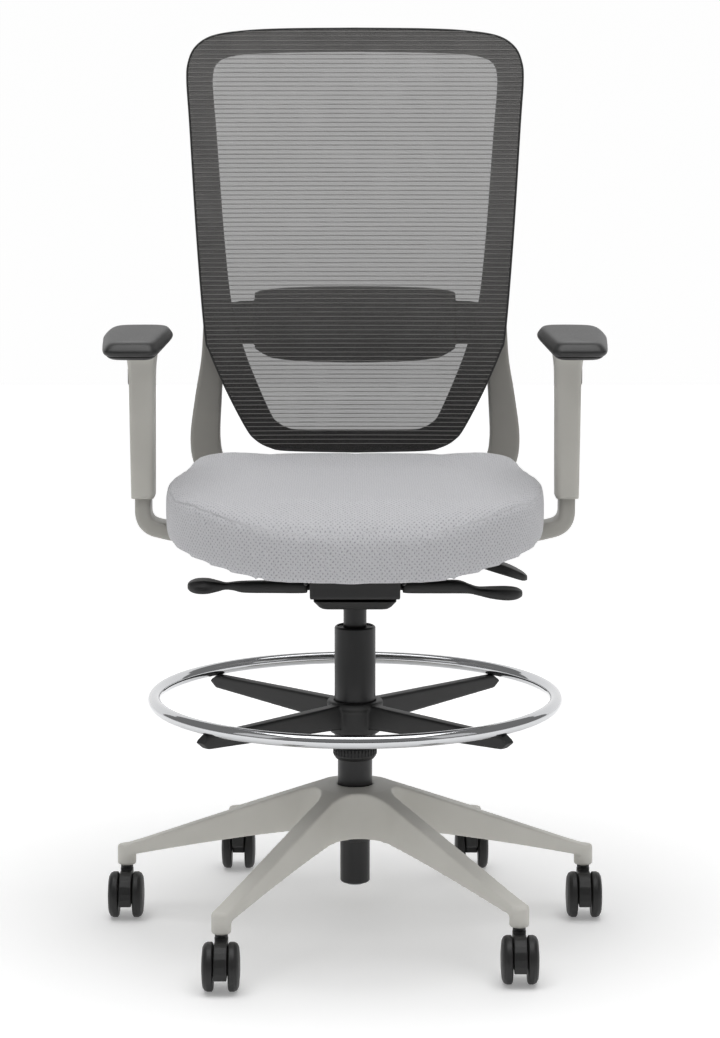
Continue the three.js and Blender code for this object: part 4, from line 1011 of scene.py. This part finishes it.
frame_piece = back_frame()
settle(frame_piece, "back", frame_nylon, ["back_frame"])

# %% [markdown]
# ## Back mesh
#
# The mesh is one flat panel, stretched over the front of the frame, with a cord sewn into its edge. Its
# thick threads run from side to side every 6.4 mm. They follow the back's curve, so a Geometry Nodes tree
# turns a row of wires into round threads. The net between them is a single sheet.

# %% Back mesh and threads
def half_width(z, inset):
    rows = [(ox, oz) for ox, oz, _, _ in SIDE]
    for (x0, z0), (x1, z1) in zip(rows, rows[1:]):
        if z0 >= z >= z1 and z0 > z1:
            return x0 + (x1 - x0) * (z0 - z) / (z0 - z1) - inset
    return 0


def back_net_sheet():
    heights = [1243.4 - 604.6 * (0.5 - 0.5 * math.cos(math.pi * i / 120)) for i in range(121)]
    columns = 48
    points, faces = [], []
    for z in heights:
        half = half_width(z, 2)
        for k in range(columns + 1):
            x = -half + 2 * half * k / columns
            points.append((x, back_y(x, z) - 0.2, z))
    for i in range(len(heights) - 1):
        a = i * (columns + 1)
        faces += [(a + k, a + k + 1, a + k + columns + 2, a + k + columns + 1) for k in range(columns)]
    return mesh_object("back_mesh", points, faces)


def wires(name, lines, closed=False):
    points, edges = [], []
    for line in lines:
        first = len(points)
        points += line
        edges += [(first + k, first + k + 1) for k in range(len(line) - 1)]
        if closed:
            edges.append((len(points) - 1, first))
    mesh = bpy.data.meshes.new(name)
    mesh.from_pydata([Vector(p) * MM for p in points], edges, [])
    piece = bpy.data.objects.new(name, mesh)
    bpy.context.scene.collection.objects.link(piece)
    return piece


def threaded(piece, material, radius, sides):
    """Turns the piece's wires into round threads."""
    tree = bpy.data.node_groups.new("threads", "GeometryNodeTree")
    face = tree.interface
    face.new_socket("Geometry", in_out="INPUT", socket_type="NodeSocketGeometry")
    thick = face.new_socket("Thread radius", in_out="INPUT", socket_type="NodeSocketFloat")
    count = face.new_socket("Thread sides", in_out="INPUT", socket_type="NodeSocketInt")
    face.new_socket("Geometry", in_out="OUTPUT", socket_type="NodeSocketGeometry")
    given = add(tree, "NodeGroupInput").outputs
    line = add(tree, "GeometryNodeMeshToCurve", {"Mesh": given["Geometry"]})
    ring = add(
        tree, "GeometryNodeCurvePrimitiveCircle",
        {"Resolution": given["Thread sides"], "Radius": given["Thread radius"]},
    )
    skin = add(
        tree, "GeometryNodeCurveToMesh",
        {"Curve": line.outputs[0], "Profile Curve": ring.outputs[0], "Fill Caps": True},
    )
    real = add(tree, "GeometryNodeRealizeInstances", {0: skin.outputs[0]})
    done = add(tree, "GeometryNodeSetMaterial", {"Geometry": real.outputs[0], "Material": material})
    tree.links.new(done.outputs[0], add(tree, "NodeGroupOutput").inputs[0])
    modifier = piece.modifiers.new("threads", "NODES")
    modifier.node_group = tree
    modifier[thick.identifier] = radius * MM
    modifier[count.identifier] = sides
    return baked(piece)


net = back_net_sheet()
settle(net, "back", mesh_net, ["back_mesh"])
rows = []
for i in range(93):
    z = 1239.5 - 6.4 * i
    half = half_width(z, 3)
    if z > 640 and half > 20:
        rows.append(
            [(-half + 2 * half * k / 24, back_y(-half + 2 * half * k / 24, z) - 0.35, z) for k in range(25)]
        )
threads = threaded(wires("back_mesh_threads", rows), mesh_thread, 0.55, 6)
settle(threads, "back", mesh_thread)
edge = [(ox, oz) for ox, oz, _, _ in SIDE] + [(-ox, oz) for ox, oz, _, _ in reversed(SIDE[1:-1])]
edge = [(x * 0.993, back_y(x, z) + 0.4, 942 + (z - 942) * 0.996) for x, z in edge]
cord = threaded(wires("back_mesh_edge", [edge], True), frame_nylon, 1.5, 8)
settle(cord, "back", frame_nylon)
print("sheet area", round(sum(p.area for p in net.data.polygons), 4))

# %% [markdown]
# ## Lumbar pad and yoke
#
# The lumbar pad is a shallow tray behind the mesh. A wing on each side runs behind the frame and slides on
# it. The yoke is a casting that starts at the mechanism's pivot, passes under the seat, spreads and rises
# behind the frame on both sides, where two screws hold each arm.

# %% Lumbar pad and yoke
lumbar = softened(copy_of("lumbar_pad", "lumbar_pad"), 1.6, 9, 0.5)
settle(lumbar, "lumbar", frame_nylon, ["lumbar_pad"])
YOKE = [
    (69.5, 62, 489, 11, 26), (69.5, 100, 490, 11, 24), (71, 135, 498, 14, 22), (90, 178, 517, 30, 18),
    (128, 222, 546, 42, 16), (181, 251, 583, 45, 16), (210, 258, 618, 45, 16), (217.5, 257, 655, 44, 16),
    (212.5, 250, 715, 39, 15), (206, 242, 770, 33, 14), (
        203.5, 238.8, 825, 30, 12,
    ), (202.5, 239.8, 862, 28, 10),
]


def yoke_side(side):
    rows = smooth_row(YOKE, 8)
    loops = []
    for i, (x, y, z, width, thickness) in enumerate(rows):
        before, after = Vector(rows[max(i - 1, 0)][:3]), Vector(rows[min(i + 1, len(rows) - 1)][:3])
        along = (after - before).normalized()
        t = min(max((i / (len(rows) - 1) - 0.3) / 0.3, 0), 1)
        thick = Vector((0, t, 1 - t))
        thick = (thick - along * thick.dot(along)).normalized()
        wide = along.cross(thick).normalized()
        loop = []
        for p in round_rectangle(width, thickness, min(width, thickness) * 0.34):
            q = Vector((x, y, z)) + wide * p.x + thick * p.y
            loop.append((side * q.x, q.y, q.z))
        loops.append(loop)
    return loft("yoke_side", loops)


def back_yoke():
    parts = [yoke_side(1), yoke_side(-1)]
    parts.append(
        loft(
            "bridge", [
                [(x, 113 + p.x, 493 + p.y) for p in round_rectangle(18, 18, 4)] for x in (-74.7, 74.7)
            ],
        )
    )
    for x in (-75, 64):
        eye = turned("eye", [(2, 0), (13, 0), (13, 11), (2, 11)], 1, 48, True)
        parts.append(
            placed(eye, Matrix.Translation((x * MM, 0.062, 0.489)) @ Matrix.Rotation(math.pi / 2, 4, "Y"))
        )
    yoke = softened(joined("back_yoke", parts), 1.7, 4, 0.6)
    bore = turned("bore", [(0, -100), (5.3, -100), (5.3, 100), (0, 100)], 0, 48)
    placed(bore, Matrix.Translation((0, 0.062, 0.489)) @ Matrix.Rotation(math.pi / 2, 4, "Y"))
    return combined(yoke, bore, "DIFFERENCE")


settle(back_yoke(), "back", yoke_coat_painted_shade, ["back_yoke"])

# %% [markdown]
# Screws repeat, so a Geometry Nodes tree puts a socket-head screw on every point of a small cloud. The four
# behind the back hold the frame to the yoke. The four under the seat hold the slide rails to the plate.

# %% Screws
def screws(name, places, turn, radius=4.2, depth=3.0):
    tree = bpy.data.node_groups.new("socket_screws", "GeometryNodeTree")
    face = tree.interface
    face.new_socket("Geometry", in_out="INPUT", socket_type="NodeSocketGeometry")
    labels = {"Head radius": radius * MM, "Head depth": depth * MM}
    sockets = {
        label: face.new_socket(label, in_out="INPUT", socket_type="NodeSocketFloat") for label in labels
    }
    face.new_socket("Geometry", in_out="OUTPUT", socket_type="NodeSocketGeometry")
    given = add(tree, "NodeGroupInput").outputs
    head = add(
        tree, "GeometryNodeMeshCylinder",
        {"Vertices": 24, "Radius": given["Head radius"], "Depth": given["Head depth"]},
    )
    key_radius = add(tree, "ShaderNodeMath", {0: given["Head radius"], 1: 0.5}, operation="MULTIPLY")
    key = add(
        tree, "GeometryNodeMeshCylinder",
        {"Vertices": 6, "Radius": key_radius.outputs[0], "Depth": given["Head depth"]},
    )
    shift = add(tree, "ShaderNodeCombineXYZ", {"Z": given["Head depth"]})
    half = add(tree, "ShaderNodeVectorMath", {0: shift.outputs[0], 1: (0.5, 0.5, 0.5)}, operation="MULTIPLY")
    key = add(tree, "GeometryNodeTransform", {"Geometry": key.outputs[0], "Translation": half.outputs[0]})
    cut = add(
        tree, "GeometryNodeMeshBoolean", {"Mesh 1": head.outputs[0], "Mesh 2": key.outputs[0]},
        operation="DIFFERENCE",
    )
    put = add(
        tree, "GeometryNodeInstanceOnPoints",
        {"Points": given["Geometry"], "Instance": cut.outputs[0], "Rotation": turn},
    )
    real = add(tree, "GeometryNodeRealizeInstances", {0: put.outputs[0]})
    done = add(tree, "GeometryNodeSetMaterial", {"Geometry": real.outputs[0], "Material": turned_steel})
    tree.links.new(done.outputs[0], add(tree, "NodeGroupOutput").inputs[0])
    piece = wires(name, [[place] for place in places])
    modifier = piece.modifiers.new("screws", "NODES")
    modifier.node_group = tree
    for label, value in labels.items():
        modifier[sockets[label].identifier] = value
    heads = baked(piece).data
    bpy.data.objects.remove(piece)
    return linked(name, heads)


behind = [
    (side * x, 247.5 + lift, z) for side in (1, -1) for x, z, lift in ((203.5, 822, -1.4), (203.5, 790, 0))
]
settle(screws("yoke_screws", behind, (-math.pi / 2, 0, 0)), "back", turned_steel)
under = [(x, y, 530) for x in (-70, 70) for y in (-78, 84)]
settle(screws("rail_screws", under, (math.pi, 0, 0)), "seat_frame", turned_steel)

# %% [markdown]
# The last parts hide inside others or between them: the guide bush and rod of the gas spring, the pivot pins
# and the seat's slide rails. The frame's own parts are shown there, with materials of their own.

# %% Parts inside
INSIDE = {
    "column_guide_bush": black_nylon, "gas_spring_rod": turned_steel, "seat_pivot_pin": turned_steel,
    "back_pivot_pin": turned_steel, "seat_slide_rail_right": black_nylon, "seat_slide_rail_left": black_nylon,
}
for node, material in INSIDE.items():
    cad[node].data.materials.clear()
    cad[node].data.materials.append(material)
print("frame parts shown as they are:", ", ".join(INSIDE))
# %% [markdown]
# ## Floor and light
#
# The chair stands in a white sweep: a floor that fades into a bright background, lit by large soft boxes.
# A low dark flag in front, which the camera doesn't see, gives the chrome something dark to reflect. The air
# around the stage looks white but gives little light, so that the boxes shape the chair.
# The floor is only there for shadows.

# %% Stage and lights
def soft_box(name, place, aim, size, power):
    data = bpy.data.lights.new(name, "AREA")
    data.shape = "RECTANGLE"
    data.size, data.size_y = size
    data.energy = power
    box = bpy.data.objects.new(name, data)
    bpy.context.scene.collection.objects.link(box)
    box.location = place
    box.rotation_euler = (Vector(aim) - Vector(place)).to_track_quat("-Z", "Y").to_euler()
    return box


def lit_paper(name, colour, glow):
    material = moulded(name, colour, colour, 0.8, 5, 0.01)
    tree = material.node_tree
    shader = tree.nodes["Principled BSDF"]
    shader.inputs["Emission Color"].default_value = linear("#ffffff")
    where = add(tree, "ShaderNodeTexCoord").outputs["Object"]
    # Painted light: the paper glows, weakly near the origin under the chair and fully from 1.3 m out.
    away = add(tree, "ShaderNodeVectorMath", {0: where}, operation="LENGTH").outputs["Value"]
    tree.links.new(ranged(tree, away, glow * 0.42, glow, 0.3, 1.3), shader.inputs["Emission Strength"])
    return material


def panel(name, corners, material):
    piece = mesh_object(name, corners, [(0, 1, 2, 3)])
    piece.data.materials.append(material)
    return piece


ground = [(-9000, -6000, -0.5), (9000, -6000, -0.5), (9000, 7000, -0.5), (-9000, 7000, -0.5)]
panel("studio_floor", ground, lit_paper("white_paper_floor", "#f4f4f4", 0.5))
wall = [(-9000, 7000, -0.5), (9000, 7000, -0.5), (9000, 7000, 6000), (-9000, 7000, 6000)]
panel("studio_wall", wall, lit_paper("white_light_wall", "#202020", 0.965))
flag = [(-3500, -4500, 30), (3500, -4500, 30), (3500, -4500, 620), (-3500, -4500, 620)]
low_flag = panel("low_flag", flag, moulded("black_felt_flag", "#0c0c0c", "#101010", 0.9, 3, 0.05))
low_flag.visible_camera = False
soft_box("top_box", (0, -0.4, 3.4), (0, 0, 0.4), (3.2, 2.6), 78)
soft_box("left_box", (-3.0, -2.0, 2.2), (0, 0, 0.8), (1.6, 2.4), 6)
soft_box("right_box", (3.0, -2.0, 2.2), (0, 0, 0.8), (1.6, 2.4), 6)
world = bpy.data.worlds.new("white_studio")
world.use_nodes = True
background = world.node_tree.nodes["Background"].inputs
background["Color"].default_value = linear("#ffffff")
seen = add(world.node_tree, "ShaderNodeLightPath").outputs["Is Camera Ray"]
world.node_tree.links.new(ranged(world.node_tree, seen, 0.23, 0.965, 0, 1), background["Strength"])
bpy.context.scene.world = world
bpy.context.scene.view_settings.view_transform = "Standard"
